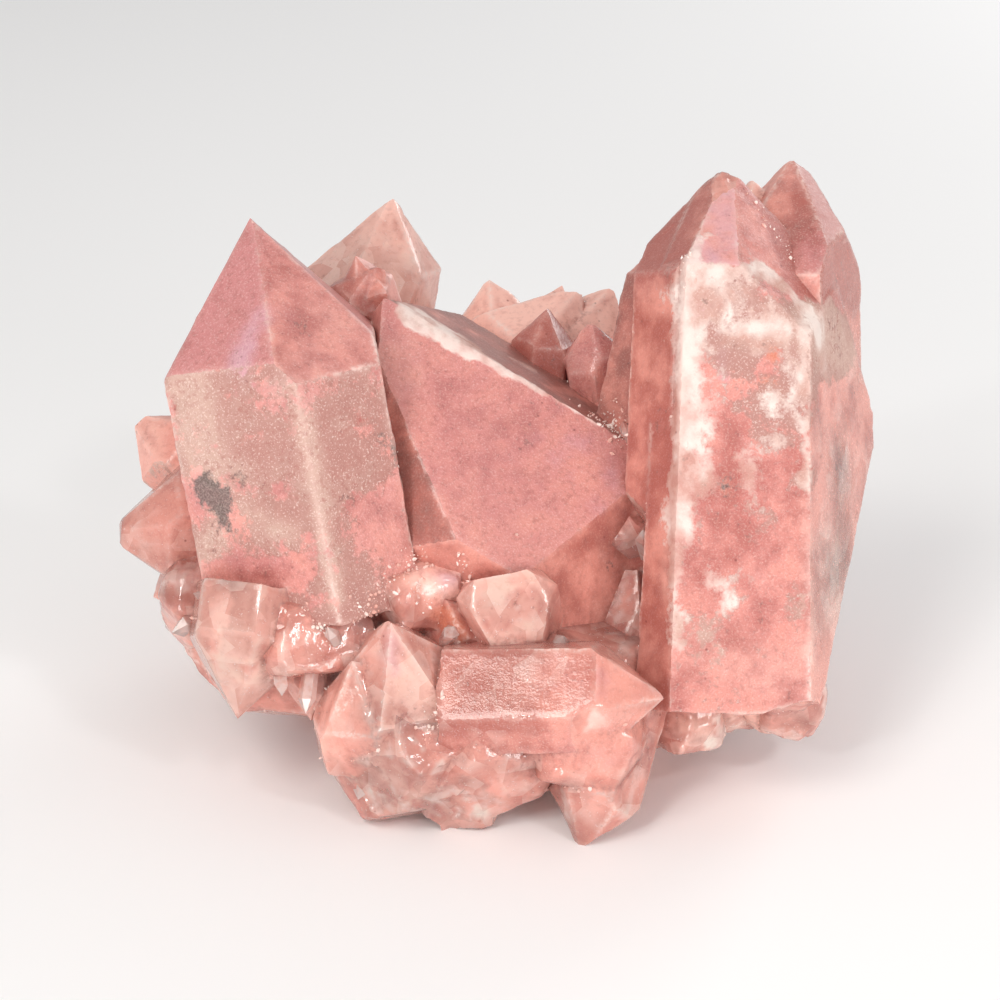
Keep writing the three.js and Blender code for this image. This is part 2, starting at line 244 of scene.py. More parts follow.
print("noise runs from", noise(tips, 3.0, 1).min().round(2), "to", noise(tips, 3.0, 1).max().round(2))

# %% [markdown]
# ## Flat faces out of the solid
# The solid comes as loose triangles. Merging their corners and dissolving edges between triangles that lie in
# one plane gives back what a crystallographer sees: large flat faces with straight borders.

# %% Faces of the solid
SAME_PLANE = np.radians(0.6)
SAME_CORNER = 0.002
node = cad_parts["quartz_cluster"]
flat = bmesh.new()
flat.from_mesh(node.data)
bmesh.ops.scale(flat, vec=Vector((1.0, 1.0, 1.0)) / MM, verts=flat.verts)
bmesh.ops.remove_doubles(flat, verts=flat.verts, dist=SAME_CORNER)
bmesh.ops.dissolve_limit(flat, angle_limit=SAME_PLANE, verts=flat.verts, edges=flat.edges)
flat.verts.index_update()
flat.edges.index_update()
flat.faces.index_update()
corner = np.array([v.co for v in flat.verts])
face_normal = np.array([f.normal for f in flat.faces])
face_centre = np.array([f.calc_center_median() for f in flat.faces])
face_area = np.array([f.calc_area() for f in flat.faces])
edge_ends = np.array([[v.index for v in e.verts] for e in flat.edges])
edge_bend = np.array([e.calc_face_angle_signed(0.0) for e in flat.edges])
print(len(face_area), "flat faces,", len(edge_ends), "borders,", round(face_area.sum() / 100), "cm2")

# %% [markdown]
# ## Whose face is it
# A face belongs to a crystal if it lies within the crystal's reach and its normal is one of the twelve.
# All faces are tested against all crystals in one array. What belongs to none is broken or massive quartz.

# %% Match the faces to the points
PAST_END, WIDEST = 1.0, 1.5
NEARER_WINS = 0.002
SAME_NORMAL = np.cos(np.radians(4.5))
below_tip = np.einsum("fpc,pc->fp", tips[None] - face_centre[:, None], axes)
from_axis = np.linalg.norm(face_centre[:, None] - tips[None] + below_tip[..., None] * axes[None], axis=2)
match = np.einsum("fc,pnc->fpn", face_normal, normals_of)
in_reach = (below_tip > -PAST_END) & (below_tip < lengths + PAST_END) & (from_axis < WIDEST * widths)
fit = match.max(axis=2) - NEARER_WINS * from_axis / widths
fit[~in_reach] = -1.0
owner = fit.argmax(axis=1)
owned = fit.max(axis=1) > SAME_NORMAL
which_normal = match[np.arange(len(owner)), np.where(owned, owner, 0)].argmax(axis=1)
owner[~owned] = len(names)
kind = np.where(owned, 1 + (which_normal > 5), 0)
print("long faces", (kind == 1).sum(), "end faces", (kind == 2).sum(), "broken faces", (kind == 0).sum())

# %% [markdown]
# ## Ruling each face with a lattice
# A flat face is its corner plus u steps one way and v steps the other. Points on a staggered grid in u and v
# fill it, its borders are cut into even steps that both neighbours share, and a Delaunay net joins them.
# That gives a closed skin of nearly even triangles with the crystal edges exactly where they were, which
# a plain subdivision of long thin triangles can't.

# %% Shared steps along the borders
FINE, COARSE, UNDERSIDE = 0.5, 0.72, 1.6
BORDER_STEP = 0.42
TURNED_AWAY = -0.25
DOWN = -0.99
facing = face_normal @ SHOW_AXES[2]
resting = face_normal[:, 2] < DOWN
face_step = np.where(facing > TURNED_AWAY, FINE, COARSE)
face_step[resting] = UNDERSIDE

start, end = corner[edge_ends[:, 0]], corner[edge_ends[:, 1]]
pieces_of = np.maximum(1, np.rint(np.linalg.norm(end - start, axis=1) / BORDER_STEP).astype(int))
inner = pieces_of - 1
first_inner = len(corner) + np.concatenate([[0], np.cumsum(inner)[:-1]])
which = np.repeat(np.arange(len(edge_ends)), inner)
share = (np.arange(inner.sum()) - np.repeat(first_inner - len(corner), inner) + 1) / pieces_of[which]
on_border = start[which] + (end - start)[which] * share[:, None]
ruled = [corner, on_border]
print(len(on_border), "points along the borders")

# %% Fill the faces
SCATTER = 0.16
ROW_GAP = 0.866
dice = np.random.default_rng(7)


def border_ring(face):
    """The point numbers round a face in order: each corner, then the steps of the border that leaves it."""
    ring = []
    for loop in face.loops:
        e = loop.edge.index
        steps = first_inner[e] + np.arange(inner[e])
        ring.append([loop.vert.index])
        ring.append(steps if edge_ends[e, 0] == loop.vert.index else steps[::-1])
    return np.concatenate(ring).astype(int)


def lattice_inside(ring_uv, step):
    """Staggered grid points inside a ring, none nearer than half a step to it. A point is inside if a line
    from it to the right crosses the ring an odd number of times."""
    low, high = ring_uv.min(0), ring_uv.max(0)
    columns, lines = (np.ceil((high - low) / (step, step * ROW_GAP)) + 1).astype(int)
    v, u = np.mgrid[0:lines, 0:columns].reshape(2, -1)
    grid = low + np.stack([(u + 0.5 * (v % 2)) * step, v * step * ROW_GAP], 1)
    grid += dice.uniform(-SCATTER, SCATTER, grid.shape) * step
    a, b = ring_uv, np.roll(ring_uv, -1, axis=0)
    ab = b - a
    t = np.einsum("gsc,sc->gs", grid[:, None] - a, ab) / np.maximum((ab**2).sum(1), 1e-12)
    away = np.linalg.norm(grid[:, None] - a - np.clip(t, 0, 1)[..., None] * ab, axis=2).min(1)
    level = (a[:, 1] > grid[:, 1:]) != (b[:, 1] > grid[:, 1:])
    with np.errstate(divide="ignore", invalid="ignore"):
        at = a[:, 0] + (grid[:, 1:] - a[:, 1]) * ab[:, 0] / ab[:, 1]
    odd = (level & (at > grid[:, :1])).sum(1) % 2 == 1
    return grid[odd & (away > 0.5 * step)]


triangles, triangle_face = [], []
count = len(corner) + len(on_border)
known = np.concatenate(ruled)
for face in flat.faces:
    ring = border_ring(face)
    normal = face_normal[face.index]
    side = unit(np.cross(normal, [0.0, 0.0, 1.0] if abs(normal[2]) < 0.9 else [1.0, 0.0, 0.0]))
    frame_uv = np.stack([side, np.cross(normal, side)])
    ring_uv = known[ring] @ frame_uv.T
    filling = lattice_inside(ring_uv, face_step[face.index])
    depth = known[ring].mean(0) @ normal
    ruled.append(filling @ frame_uv + depth * normal)
    numbers = np.concatenate([ring, count + np.arange(len(filling))])
    count += len(filling)
    flat_points = [Vector(p) for p in np.concatenate([ring_uv, filling])]
    borders = [(i, (i + 1) % len(ring)) for i in range(len(ring))]
    net = geometry.delaunay_2d_cdt(flat_points, borders, [], 1, 1e-5)
    source = np.array([o[0] if o else -1 for o in net[3]])
    found = source[np.array(net[2], int).reshape(-1, 3)]
    triangles.append(numbers[found[(found >= 0).all(1)]])
    triangle_face.append(np.full(len(triangles[-1]), face.index))
point = np.concatenate(ruled)
tri = np.concatenate(triangles)
tri_face = np.concatenate(triangle_face)
flat.free()
sides = np.sort(tri[:, [0, 1, 1, 2, 2, 0]].reshape(-1, 2), axis=1)
edges, uses = np.unique(sides, axis=0, return_counts=True)
print(len(point), "points,", len(tri), "triangles, sides not used twice:", int((uses != 2).sum()))

# %% [markdown]
# ## Ridges, nooks and broken ground
# Three measures steer what follows: how far a point is from a sharp ridge, how far from a nook where two
# crystals meet, and how much of its skin is broken quartz rather than a grown face. The distances spread
# over the net: a point is as far as its neighbour plus the side between them.

# %% Distances over the net
SHARP = np.radians(14.0)
LARGE = 6
WIDE_BREAK, CLEAN_BREAK = 25, 0.35
e0, e1 = edges.T
side_length = np.linalg.norm(point[e0] - point[e1], axis=1)


def along_borders(chosen):
    """The numbers of all points on the chosen borders: their two ends and the steps between."""
    steps = len(corner) + np.flatnonzero(chosen[which])
    return np.concatenate([edge_ends[chosen].ravel(), steps])


def spread(seeds, reach=8):
    """Starts at 0 on the seeds and lets the shortest way over the sides grow ring by ring."""
    distance = np.full(len(point), 9.0)
    distance[seeds] = 0.0
    for _ in range(reach):
        a, b = distance[e0] + side_length, distance[e1] + side_length
        np.minimum.at(distance, e1, a)
        np.minimum.at(distance, e0, b)
    return distance


def neighbours_mean(values):
    """The mean of each point's neighbours: both ends of every side, added up and divided by their number."""
    n = len(point)
    degree = np.bincount(e0, minlength=n) + np.bincount(e1, minlength=n)
    columns = [
        np.bincount(e0, values[e1, c], n) + np.bincount(e1, values[e0, c], n) for c in range(values.shape[1])
    ]
    return np.stack(columns, 1) / degree[:, None]


def corners_mean(corner_values):
    """The mean at each point of a value that its triangles' corners hold: their sum over their number."""
    n = len(point)
    return np.bincount(tri.ravel(), corner_values, n) / np.bincount(tri.ravel(), minlength=n)


def on_points(face_values):
    """Carries a value from the flat faces to the points: the mean over the triangles round each point."""
    return corners_mean(np.repeat(face_values[tri_face], 3))


from_ridge = spread(along_borders(edge_bend > SHARP))
from_nook = spread(along_borders(edge_bend < -SHARP))
broken_off_large = (kind == 0) & in_reach[:, :LARGE].any(axis=1) & (face_area > WIDE_BREAK)
broken_face = np.where(kind == 0, np.where(broken_off_large, CLEAN_BREAK, 1.0), 0.0)
broken_face[resting] = 0.0
broken = on_points(broken_face)
print("near a ridge", (from_ridge < 0.5).sum(), "near a nook", (from_nook < 0.5).sum())
print("broken", (broken > 0.5).sum())

# %% [markdown]
# ## Broken quartz
# Quartz has no flat cleavage: it breaks in rounded shells and small tilted chips. The flat lumps of the
# solid are first relaxed, each point drawing towards the mean of its neighbours, then given long swells and
# chips: space is divided into cells round scattered seeds, and in every cell the skin tilts its own way.

# %% Relax and chip the broken parts


def skin_normals(points):
    """The mean of the normals of the triangles round each point, each as long as its triangle is large."""
    a, b, c = points[tri[:, 0]], points[tri[:, 1]], points[tri[:, 2]]
    n = np.cross(b - a, c - a)
    total = np.stack([np.bincount(tri.ravel(), np.repeat(n[:, i], 3), len(points)) for i in range(3)], 1)
    return unit(total)


def chips(points, size, seed):
    """Finds the nearest of 27 scattered cell seeds. Returns the height of that cell's own tilted plane and
    the cell's own tone, a random value from -1 to 1."""
    base = np.floor(points / size).astype(np.int64)
    best = np.full(len(points), 1e9)
    height, tone = np.zeros((2, len(points)))
    for step in np.stack(np.meshgrid(*[[-1, 0, 1]] * 3), -1).reshape(-1, 3):
        cell = base + step
        jitter = np.stack([corner_value(*cell.T, seed + i) for i in range(3)], 1)
        tilt = np.stack([corner_value(*cell.T, seed + 3 + i) for i in range(3)], 1)
        away = points / size - (cell + 0.5 + 0.42 * jitter)
        distance = (away**2).sum(1)
        nearer = distance < best
        best = np.where(nearer, distance, best)
        height = np.where(nearer, (away * tilt).sum(1), height)
        tone = np.where(nearer, corner_value(*cell.T, seed + 6), tone)
    return height, tone


SHELL_CENTRE, SHELL_REACH = (13.5, -21.5, 16.5), 9.5
RELAX_ROUNDS = 6
LARGE_CHIP, SMALL_CHIP = 4.4, 1.6
shape = point.copy()
loose = broken * rise(from_nook, 0.0, 0.9)
for _ in range(RELAX_ROUNDS):
    shape += 0.5 * loose[:, None] * (neighbours_mean(shape) - shape)
large_chips, large_tone = chips(point, LARGE_CHIP, 21)
small_chips, small_tone = chips(point, SMALL_CHIP, 31)
swell = 0.4 * rough(point, 6.0, 11, layers=2) + 0.48 * large_chips + 0.13 * small_chips
ripple_way = np.linalg.norm(point - on_show_side(SHELL_CENTRE), axis=1)
shell = rise(SHELL_REACH - ripple_way, 0.0, 2.5) * broken
ripple = 0.10 * np.sin(2 * np.pi * ripple_way / (1.0 + 0.16 * ripple_way))
relief = loose * (swell * (1.0 - 0.8 * shell) + shell * ripple)
print("broken relief from", relief.min().round(2), "to", relief.max().round(2), "mm")

# %% [markdown]
# ## Growth lines, hillocks and crust
# The long faces carry fine steps across the axis, like the rungs of a ladder, so their height depends on the
# distance below the tip alone. End faces have low hillocks instead. The cream crust stands a tenth of
# a millimetre proud where its patches are, and its limit wanders with noise.

# %% Growth relief on the crystals
point_owner = np.full(len(point), len(names))
point_owner[tri.ravel()] = np.repeat(owner[tri_face], 3)
owned_by = np.minimum(point_owner, len(names) - 1)
below = ((tips[owned_by] - point) * axes[owned_by]).sum(1)
long_face = on_points((kind == 1).astype(float))
end_face = on_points((kind == 2).astype(float))
rungs = np.stack([below, 9.1 * owned_by, 0.06 * point[:, 0]], 1)
ladder = 0.035 * noise(rungs, 0.9, 41) + 0.05 * noise(rungs, 2.6, 42)
patchy = rise(noise(point, 7.0, 43), -0.5, 0.5)
relief += long_face * (ladder * patchy + 0.035 * rough(point, 3.0, 44, layers=2))
relief += end_face * 0.028 * rough(point, 2.4, 45, layers=2)
print("ladder relief up to", np.abs(ladder).max().round(3), "mm")

# %% [markdown]
# ## Looks by face
# Most faces take the finish of their crystal, but the large crystals differ from face to face: the left
# point's frosted end faces, the tall one's crusted front, the middle one's smoky upper face. Faces 0 to 5
# are the long ones, counted clockwise from the one that looks out, and 6 to 11 the end faces.

# %% Finish of each face
FACE_LOOKS = {
    ("left", 0): dict(crust=0.82, rose=0.55),
    ("left", 1): dict(crust=0.78, rose=0.5),
    ("left", 2): dict(crust=0.9, white=0.5),
    ("left", 5): dict(crust=0.5, rose=0.4),
    ("left", 6): dict(rose=0.95, deep=0.1),
    ("left", 7): dict(rose=0.5, deep=0.45),
    ("left", 11): dict(rose=0.7, deep=0.3),
    ("tall front", 0): dict(crust=0.16, white=0.03, deep=0.46, rose=0.5, gloss=0.35),
    ("tall front", 1): dict(crust=0.1, deep=0.3, clear=0.25, gloss=0.4),
    ("tall front", 4): dict(deep=0.75, gloss=0.6),
    ("tall front", 5): dict(deep=0.72, gloss=0.7),
    ("tall front", 6): dict(lilac_and_sheen=0.6, rose=0.3, pale=0.35, gloss=0.3),
    ("tall front", 11): dict(deep=0.9, smoke=0.1),
    ("lying", 0): dict(rose=0.2, deep=0.85, clear=0.32, gloss=0.9),
    ("lying", 1): dict(deep=0.5, rose=0.3, clear=0.25, gloss=0.9),
    ("lying", 6): dict(lilac_and_sheen=0.3, deep=0.3, clear=0.3, gloss=0.9),
    ("nose 1", 6): dict(pale=0.8, clear=0.4, gloss=0.95),
    ("front 1", 6): dict(pale=0.9, clear=0.25, gloss=0.9),
    ("tall side", 5): dict(deep=0.72, gloss=0.8),
    ("tall back", 6): dict(deep=0.45, smoke=0.25, rose=0.3),
    ("tall back", 7): dict(deep=1.2, rose=0.2),
    ("tall left", 5): dict(deep=0.8, smoke=0.45),
    ("tall left", 4): dict(deep=0.8, smoke=0.45),
    ("middle", 0): dict(deep=0.7, smoke=0.1, gloss=0.3),
    ("middle", 5): dict(deep=0.6, rose=0.2, gloss=0.3),
    ("middle", 6): dict(rose=0.6),
    ("middle", 7): dict(smoke=0.55, deep=0.85),
    ("middle", 11): dict(smoke=0.55, deep=0.9, gloss=0.4),
}
GLOSS_OF = dict(clear=0.95, front=0.9, nose=0.85, lying=0.92, between=0.85, drop=0.9)
GLOSS_OF |= dict(gap=0.6, flank=0.6, pale=0.7)
GLOSS_ELSEWHERE, GLOSS_MASSIVE = 0.3, 0.85
CRUST_ON_ENDS = 0.15
BEVEL_AIM, BEVEL_MATCH, BEVEL_AREA = (46.0, 42.0), 0.995, 40
BEVEL = dict(deep=0.45, rose=0.5, smoke=0.1)

look_of = finishes[owner]
gloss_of = np.array([GLOSS_OF.get(name.split()[0], GLOSS_ELSEWHERE) for name in names] + [GLOSS_MASSIVE])
look_of[:, GLOSS] = gloss_of[owner]
look_of[kind == 2, CRUST] *= CRUST_ON_ENDS
for (name, number), looks in FACE_LOOKS.items():
    chosen = (owner == names.index(name)) & (which_normal == number)
    look_of[chosen] = shares(looks)
bevel = (kind == 0) & (face_normal @ aimed(*BEVEL_AIM) > BEVEL_MATCH) & (face_area > BEVEL_AREA)
look_of[bevel] = shares(BEVEL)
print("faces with a finish of their own:", len(FACE_LOOKS), "and the bevel:", bevel.sum())

# %% [markdown]
# ## Marks
# Some features sit on one spot of the real piece: the white crust along the middle crystal's ridge, the
# left one's grey mould-like blots, the tall one's orange stains. Each is a capsule, a ball drawn from one
# place to another, that adds to a look or, with a minus, takes from it. Noise in the material frays its rim.

# %% Table of marks
#  crystal: [from (a, b, w), to (a, b, w), radius, what it adds to which look]
MARKS = {
    "left": [
        ((-25.6, 13, 16), (-24, 18.6, 14.6), 2.4, dict(lilac_and_sheen=0.6)),
        ((-28, 22, 11), (-27, 28, 9.5), 4, dict(rose=0.5)),
        ((-31.4, 11.4, 13), (-30.2, 3.5, 12.3), 3.2, dict(pale=0.8)),
        ((-19.9, 10.6, 18.8), (-16.2, -10, 15.3), 1.1, dict(pale=0.6)),
        ((-10, 12.6, 13), (-9, 5.4, 12), 1.3, dict(pale=0.7)),
        ((-28.6, -3.4, 11.8), (-30.6, -6.2, 9.8), 2, dict(pale=0.6)),
        ((-26, -1.4, 13), (-21, -3.2, 14.6), 1.8, dict(pale=0.5)),
        ((-31.6, 7.6, 12.6), (-30.6, 8.6, 12.8), 1.6, dict(white=0.5)),
        ((-32.4, 9.3, 12.2), (-31.4, 9.9, 12.6), 0.75, dict(deep=0.95)),
        ((-23.4, 0.7, 14.5), (-22.4, -0.6, 14.8), 0.8, dict(deep=0.8)),
        ((-22.6, 3.4, 14.9), (-21.6, 3.7, 15.2), 0.5, dict(deep=0.75)),
        ((-20, 0.5, 16.3), (-19.2, -0.6, 16.3), 0.6, dict(deep=0.6)),
        ((-21.4, 7.8, 17.4), (-21, 6.8, 17.4), 0.8, dict(deep=0.6)),
        ((-15.6, 8.3, 15.7), (-12.5, 7.8, 13.8), 0.75, dict(deep=0.65)),
        ((-16.4, 5, 15.9), (-15.4, 4.4, 15.5), 0.8, dict(deep=0.5)),
        ((-30.4, -7.9, 9.2), (-20, -7.4, 14.3), 1.8, dict(crust=-1)),
        ((-29.4, -7.9, 9.6), (-20, -7.4, 14.3), 1.5, dict(deep=0.5)),
        ((-12, -2.2, 13.4), (-8.6, -6, 10.6), 3.6, dict(crust=-0.8)),
        ((-13, -1.2, 13.4), (-8.6, -6, 10.6), 3.6, dict(deep=0.35)),
        ((-29.5, 1.4, 11.8), (-28.6, 0.4, 12), 1.6, dict(grey=1)),
        ((-28, -0.4, 12), (-27.4, -2.6, 11.8), 1.1, dict(grey=0.85)),
        ((-11.6, 6.2, 13.2), (-9.8, 3.6, 11.8), 1.1, dict(grey=0.6)),
    ],
    "middle": [
        ((-9.4, 19.3, 3.3), (-4.6, 16.8, 3.2), 1.25, dict(crust=0.8)),
        ((-9.6, 19.4, 3.2), (-3.6, 16.1, 3.2), 1.3, dict(white=1.6)),
        ((-4, 16.3, 3.1), (4.3, 11.4, 2.8), 0.7, dict(white=1.4)),
        ((4.3, 11.5, 2.8), (11.6, 7.4, 2.6), 0.36, dict(white=0.7)),
        ((-8.8, 19.5, 1.6), (-3.4, 16.4, 1.6), 1.5, dict(white=1.4)),
        ((1, 15.2, -3.2), (3.4, 14, -3.6), 0.8, dict(white=0.75)),
        ((7, 5, 5), (11, 0.6, 5.2), 3.4, dict(lilac_and_sheen=0.35)),
        ((-11.2, 13, 8.8), (-10.6, 12, 8.8), 0.8, dict(grey=0.35)),
        ((11.1, -7.3, 5.3), (11.5, -6.6, 5), 0.6, dict(grey=0.45)),
    ],
    "tall front": [
        ((18.9, 22, 12.2), (17.6, -6, 13.2), 1.5, dict(white=0.9)),
        ((17.6, -6, 13.2), (17.8, -15, 13.4), 0.8, dict(white=0.5)),
        ((21.5, 21.5, 12.2), (29.5, 19, 12), 3.4, dict(crust=0.75)),
        ((21.5, 20, 12.3), (29, 15, 12.2), 4.6, dict(white=0.5)),
        ((30.4, 17, 11.6), (30.9, 2, 12.3), 0.55, dict(white=0.5)),
        ((30.6, 0, 12.3), (31.2, -16, 12.6), 0.8, dict(pale=0.6)),
        ((23, 16, 12.3), (28.5, 10.6, 12.3), 3.4, dict(crust=0.8)),
        ((20, 12, 12.4), (20.6, 2, 12.9), 1.9, dict(white=0.65)),
        ((24.4, 4.6, 12.7), (25.4, 2, 12.7), 1.3, dict(white=0.6)),
        ((21.3, -8.4, 13.3), (22.8, -10, 13.3), 1.4, dict(white=0.6)),
        ((24.4, -6.8, 13.1), (25.6, -8, 13.1), 1.3, dict(white=0.65)),
        ((29, -8, 13.1), (30, -14, 13.4), 1.2, dict(crust=0.35)),
        ((20, -15, 13.5), (30, -18, 13.4), 4, dict(pale=0.5)),
        ((27, 15.9, 12.2), (27.5, 14.2, 12.2), 0.7, dict(orange=1)),
        ((26.4, 11.6, 12.3), (28.4, 11, 12.3), 1, dict(orange=0.8)),
        ((22.2, 14.6, 12.5), (22.8, 12.4, 12.5), 0.9, dict(lilac_and_sheen=0.9)),
        ((20.1, 19.1, 12.4), (20.5, 18, 12.4), 0.8, dict(lilac_and_sheen=0.7)),
        ((21.6, 25.6, 11.4), (24.4, 25.2, 11.2), 1.1, dict(deep=0.7)),
        ((18.8, 23.7, 12.3), (20.8, 27.2, 10), 0.8, dict(white=0.9)),
        ((19.4, 23.2, 12.2), (27.4, 23.4, 11.6), 0.5, dict(white=0.6)),
        ((26.6, 23.8, 10.3), (31.2, 19.5, 9.7), 0.75, dict(white=1.1)),
        ((26, 27.5, 8.5), (27.4, 25.4, 9), 1.2, dict(white=0.35)),
        ((33.6, 24, 6.5), (37.6, 23.2, -1.5), 3.8, dict(deep=1.3)),
        ((35, 9.6, 5), (38.4, 8.6, -2), 2.4, dict(deep=0.5)),
        ((32, 17.6, 10), (38, 16.2, 0.6), 3, dict(crust=1)),
        ((32, 17.6, 10), (38, 15.4, 0.6), 3.4, dict(pale=0.7)),
        ((32, 13.6, 10.6), (34.6, 14.2, 5.6), 2.4, dict(crust=0.8)),
        ((32, 18.4, 10.9), (33.6, 12.4, 8), 1.6, dict(white=0.5)),
        ((35.7, 3, 3.8), (35.7, -6, 3.8), 4.5, dict(clear=0.5)),
        ((35, 1, 5), (36, -3, 3), 3.2, dict(smoke=0.15)),
        ((33.6, -5, 8), (34.4, -12, 7), 2.6, dict(crust=-0.6)),
        ((34, -6, 7), (36, -16, 2), 5, dict(pale=1)),
        ((15.7, 27.2, 3.2), (17.4, 24.8, 8.2), 1.7, dict(deep=0.8)),
        ((16, -1, 12.6), (16.4, -9, 12.6), 1.6, dict(deep=-0.4, pale=0.5)),
        ((33.6, 25, 6.5), (37.6, 24.4, -1.5), 3, dict(crust=-0.8)),
    ],
    "tall back": [
        ((34, -6, 5), (36, -16, 0), 5, dict(pale=0.8)),
        ((32.4, 27, 5), (32.8, 24, 6.6), 2.6, dict(rose=0.7)),
        ((27.9, 30, 4.2), (28.2, 29.4, 4.4), 0.6, dict(deep=1)),
        ((31.2, 31.9, 1.3), (31.7, 31, 2), 0.8, dict(deep=1)),
    ],
    "right foot 2": [
        ((31.5, -22.6, 5), (34.5, -18, 1), 2.4, dict(smoke=0.9)),
    ],
    "right foot 1": [
        ((16, -24.5, 9), (20.5, -25, 8), 1.6, dict(deep=0.7)),
        ((19.6, -23.9, 9), (26.8, -23.9, 3.1), 2.2, dict(pale=1.2)),
        ((23.6, -23.9, 5), (27, -23.9, 3.1), 1.6, dict(white=0.6)),
    ],
    "front 1": [
        ((-11.2, -13.6, 16.2), (-10.6, -17.2, 16), 1.5, dict(lilac_and_sheen=0.6)),
        ((-13.6, -26.6, 12.4), (-10, -29, 12.6), 3, dict(pale=1)),
    ],
    "front 2": [
        # painted glint: white laid on this facet as a highlight
        ((-15.6, -17.6, 14.4), (-15.4, -20.4, 14), 1, dict(white=0.45)),
    ],
    "nose 3": [
        ((-8.4, -7, 11.6), (-4, -8.4, 11), 2.2, dict(clear=-1, pale=1.1, lilac_and_sheen=0.5)),
        ((-8.6, -8.8, 12.4), (-4.8, -9.6, 11.8), 0.8, dict(white=0.4)),
    ],
    "lying": [
        ((7, -25, 16), (13.5, -24.6, 16), 2.6, dict(clear=-0.7, rose=0.3)),
        ((0.6, -16.6, 19), (6.8, -16.2, 19.6), 1.3, dict(lilac_and_sheen=0.5)),
        ((-5.4, -22.4, 16.4), (3, -21.8, 17.6), 1.2, dict(deep=0.6)),
        ((11.4, -15.4, 18.6), (12.2, -19, 19.2), 1.4, dict(deep=0.5)),
    ],
    "clear foot": [
        ((-27, -16.4, 14), (-22, -18.6, 14), 2.6, dict(pale=0.9)),
    ],
    "nose 2": [
        ((-5.4, -12, 11.4), (-4.8, -13.6, 10.6), 1.7, dict(clear=-0.8, orange=1.2)),
    ],
    "nose 1": [
        # painted glint: a white spot laid on this facet as a highlight
        ((2.3, -9, 16.6), (2.7, -10, 16.6), 0.8, dict(white=0.7)),
        ((-2, -10.6, 17), (3.4, -10, 17), 2.4, dict(clear=0.4)),
        ((-2.6, -13, 17.2), (0, -13.6, 17.6), 1.2, dict(orange=0.5)),
    ],
    "drop": [
        ((6.6, -34.6, 11.4), (8.4, -33.2, 11.8), 1.6, dict(deep=0.6)),
    ],
}
print(sum(len(marks) for marks in MARKS.values()), "marks on", len(MARKS), "crystals")

# %% Lay the looks over the skin
looks_at = look_of[np.repeat(tri_face, 3)]
spot = point[tri.ravel()]
spot_owner = np.repeat(owner[tri_face], 3)
wander = 0.35 * np.stack([noise(point, 1.7, 61 + i) for i in range(3)], 1)[tri.ravel()]


def capsule(points, a, b, radius):
    """1 on the line from a to b, falling as exp(-d^2) with d the distance to the line in radii."""
    ab = b - a
    t = np.clip((points - a) @ ab / max(ab @ ab, 1e-9), 0.0, 1.0)
    away = np.linalg.norm(points - a - t[:, None] * ab, axis=1)
    return np.exp(-((away / radius) ** 2))


for name, marks in MARKS.items():
    near = np.flatnonzero((spot_owner == names.index(name)) | (spot_owner == len(names)))
    for a, b, radius, strengths in marks:
        frayed_spot = spot[near] + wander[near] * min(1.0, radius)
        amount = capsule(frayed_spot, on_show_side(a), on_show_side(b), radius)
        for look_name, strength in strengths.items():
            looks_at[near, LOOKS.index(look_name)] += strength * amount
swatch = rough(point, 9.0, 71, layers=2)[tri.ravel()]
looks_at[:, LOOKS.index("deep")] += 0.22 * swatch
looks_at[:, CRUST] *= 1.0 + 0.4 * swatch
looks_at = np.clip(looks_at, 0.0, 1.3)
print("mean looks:", dict(zip(LOOKS, looks_at.mean(0).round(3).tolist())))

# %% [markdown]
# ## Crust relief, ridges and the finished skin
# Where the crust lies the skin is lifted, by the same noise that will limit its colour. Ridges get their
# wear last: points on them draw towards their neighbours, most of all where noise asks for a chip.

# %% Lift, wear and close the skin
CRUST_HEIGHT, PIT_DEPTH = 0.10, 0.10
WEAR_ROUNDS = 3
crusted = looks_at[:, [CRUST, LOOKS.index("white")]].max(1)
crust_point = corners_mean(crusted)
patches = rise(crust_point + 0.5 * rough(point, 2.2, 51, layers=3), 0.35, 0.75)
relief += patches * (CRUST_HEIGHT + 0.07 * rough(point, 0.9, 52, layers=2))
pits = rise(noise(point, 1.1, 53), 0.62, 0.9) * (1.0 - broken) * rise(crust_point, 0.1, 0.5)
relief -= PIT_DEPTH * pits
quiet = 1.0 - 0.75 * rise(0.7 - from_nook, 0.0, 0.7)
shape += skin_normals(shape) * (relief * quiet)[:, None]
wear = 0.30 + 0.35 * noise(point, 1.6, 81) + 0.9 * rise(noise(point, 3.4, 82), 0.42, 0.75)
worn = np.clip(wear, 0.0, 0.95) * rise(0.62 - from_ridge, 0.0, 0.5)
for _ in range(WEAR_ROUNDS):
    shape += worn[:, None] * 0.6 * (neighbours_mean(shape) - shape)
rest_points = on_points(resting.astype(float)) > 0
shape[rest_points, 2] = 0.0
low, high = (np.array(c) / MM for c in cad_box)
shape = np.clip(shape, low, high)
print("moved by", np.linalg.norm(shape - point, axis=1).mean().round(3), "mm on average")

# %% [markdown]
# ## Body colour, mixed before it reaches the shader
# A gem cutter would describe this stone from the inside out: a salmon body with milky veils, apricot where
# it thins out, brick and smoke where it is thick, mauve frost on the end faces. All that is wider than half
# a millimetre is mixed here and carried on the corners, which renders far faster than a chain of noise nodes.

# %% Colour helpers


def linear(code):
    """A colour code as the linear values that shaders use: ((v + 0.055) / 1.055) ^ 2.4 above 0.04045."""
    v = np.array([int(code[i : i + 2], 16) for i in (1, 3, 5)]) / 255.0
    return (*np.where(v > 0.04045, ((v + 0.055) / 1.055) ** 2.4, v / 12.92).tolist(), 1.0)


def paint(under, over, share):
    """The colours under, moved towards the colour over by a share: under + (over - under) * share."""
    return under + (np.array(linear(over)[:3]) - under) * share[:, None]


def look(name):
    """How much of one look each corner of the triangles has."""
    return looks_at[:, LOOKS.index(name)]


print("colour check:", [round(c, 3) for c in linear("#D98F88")])

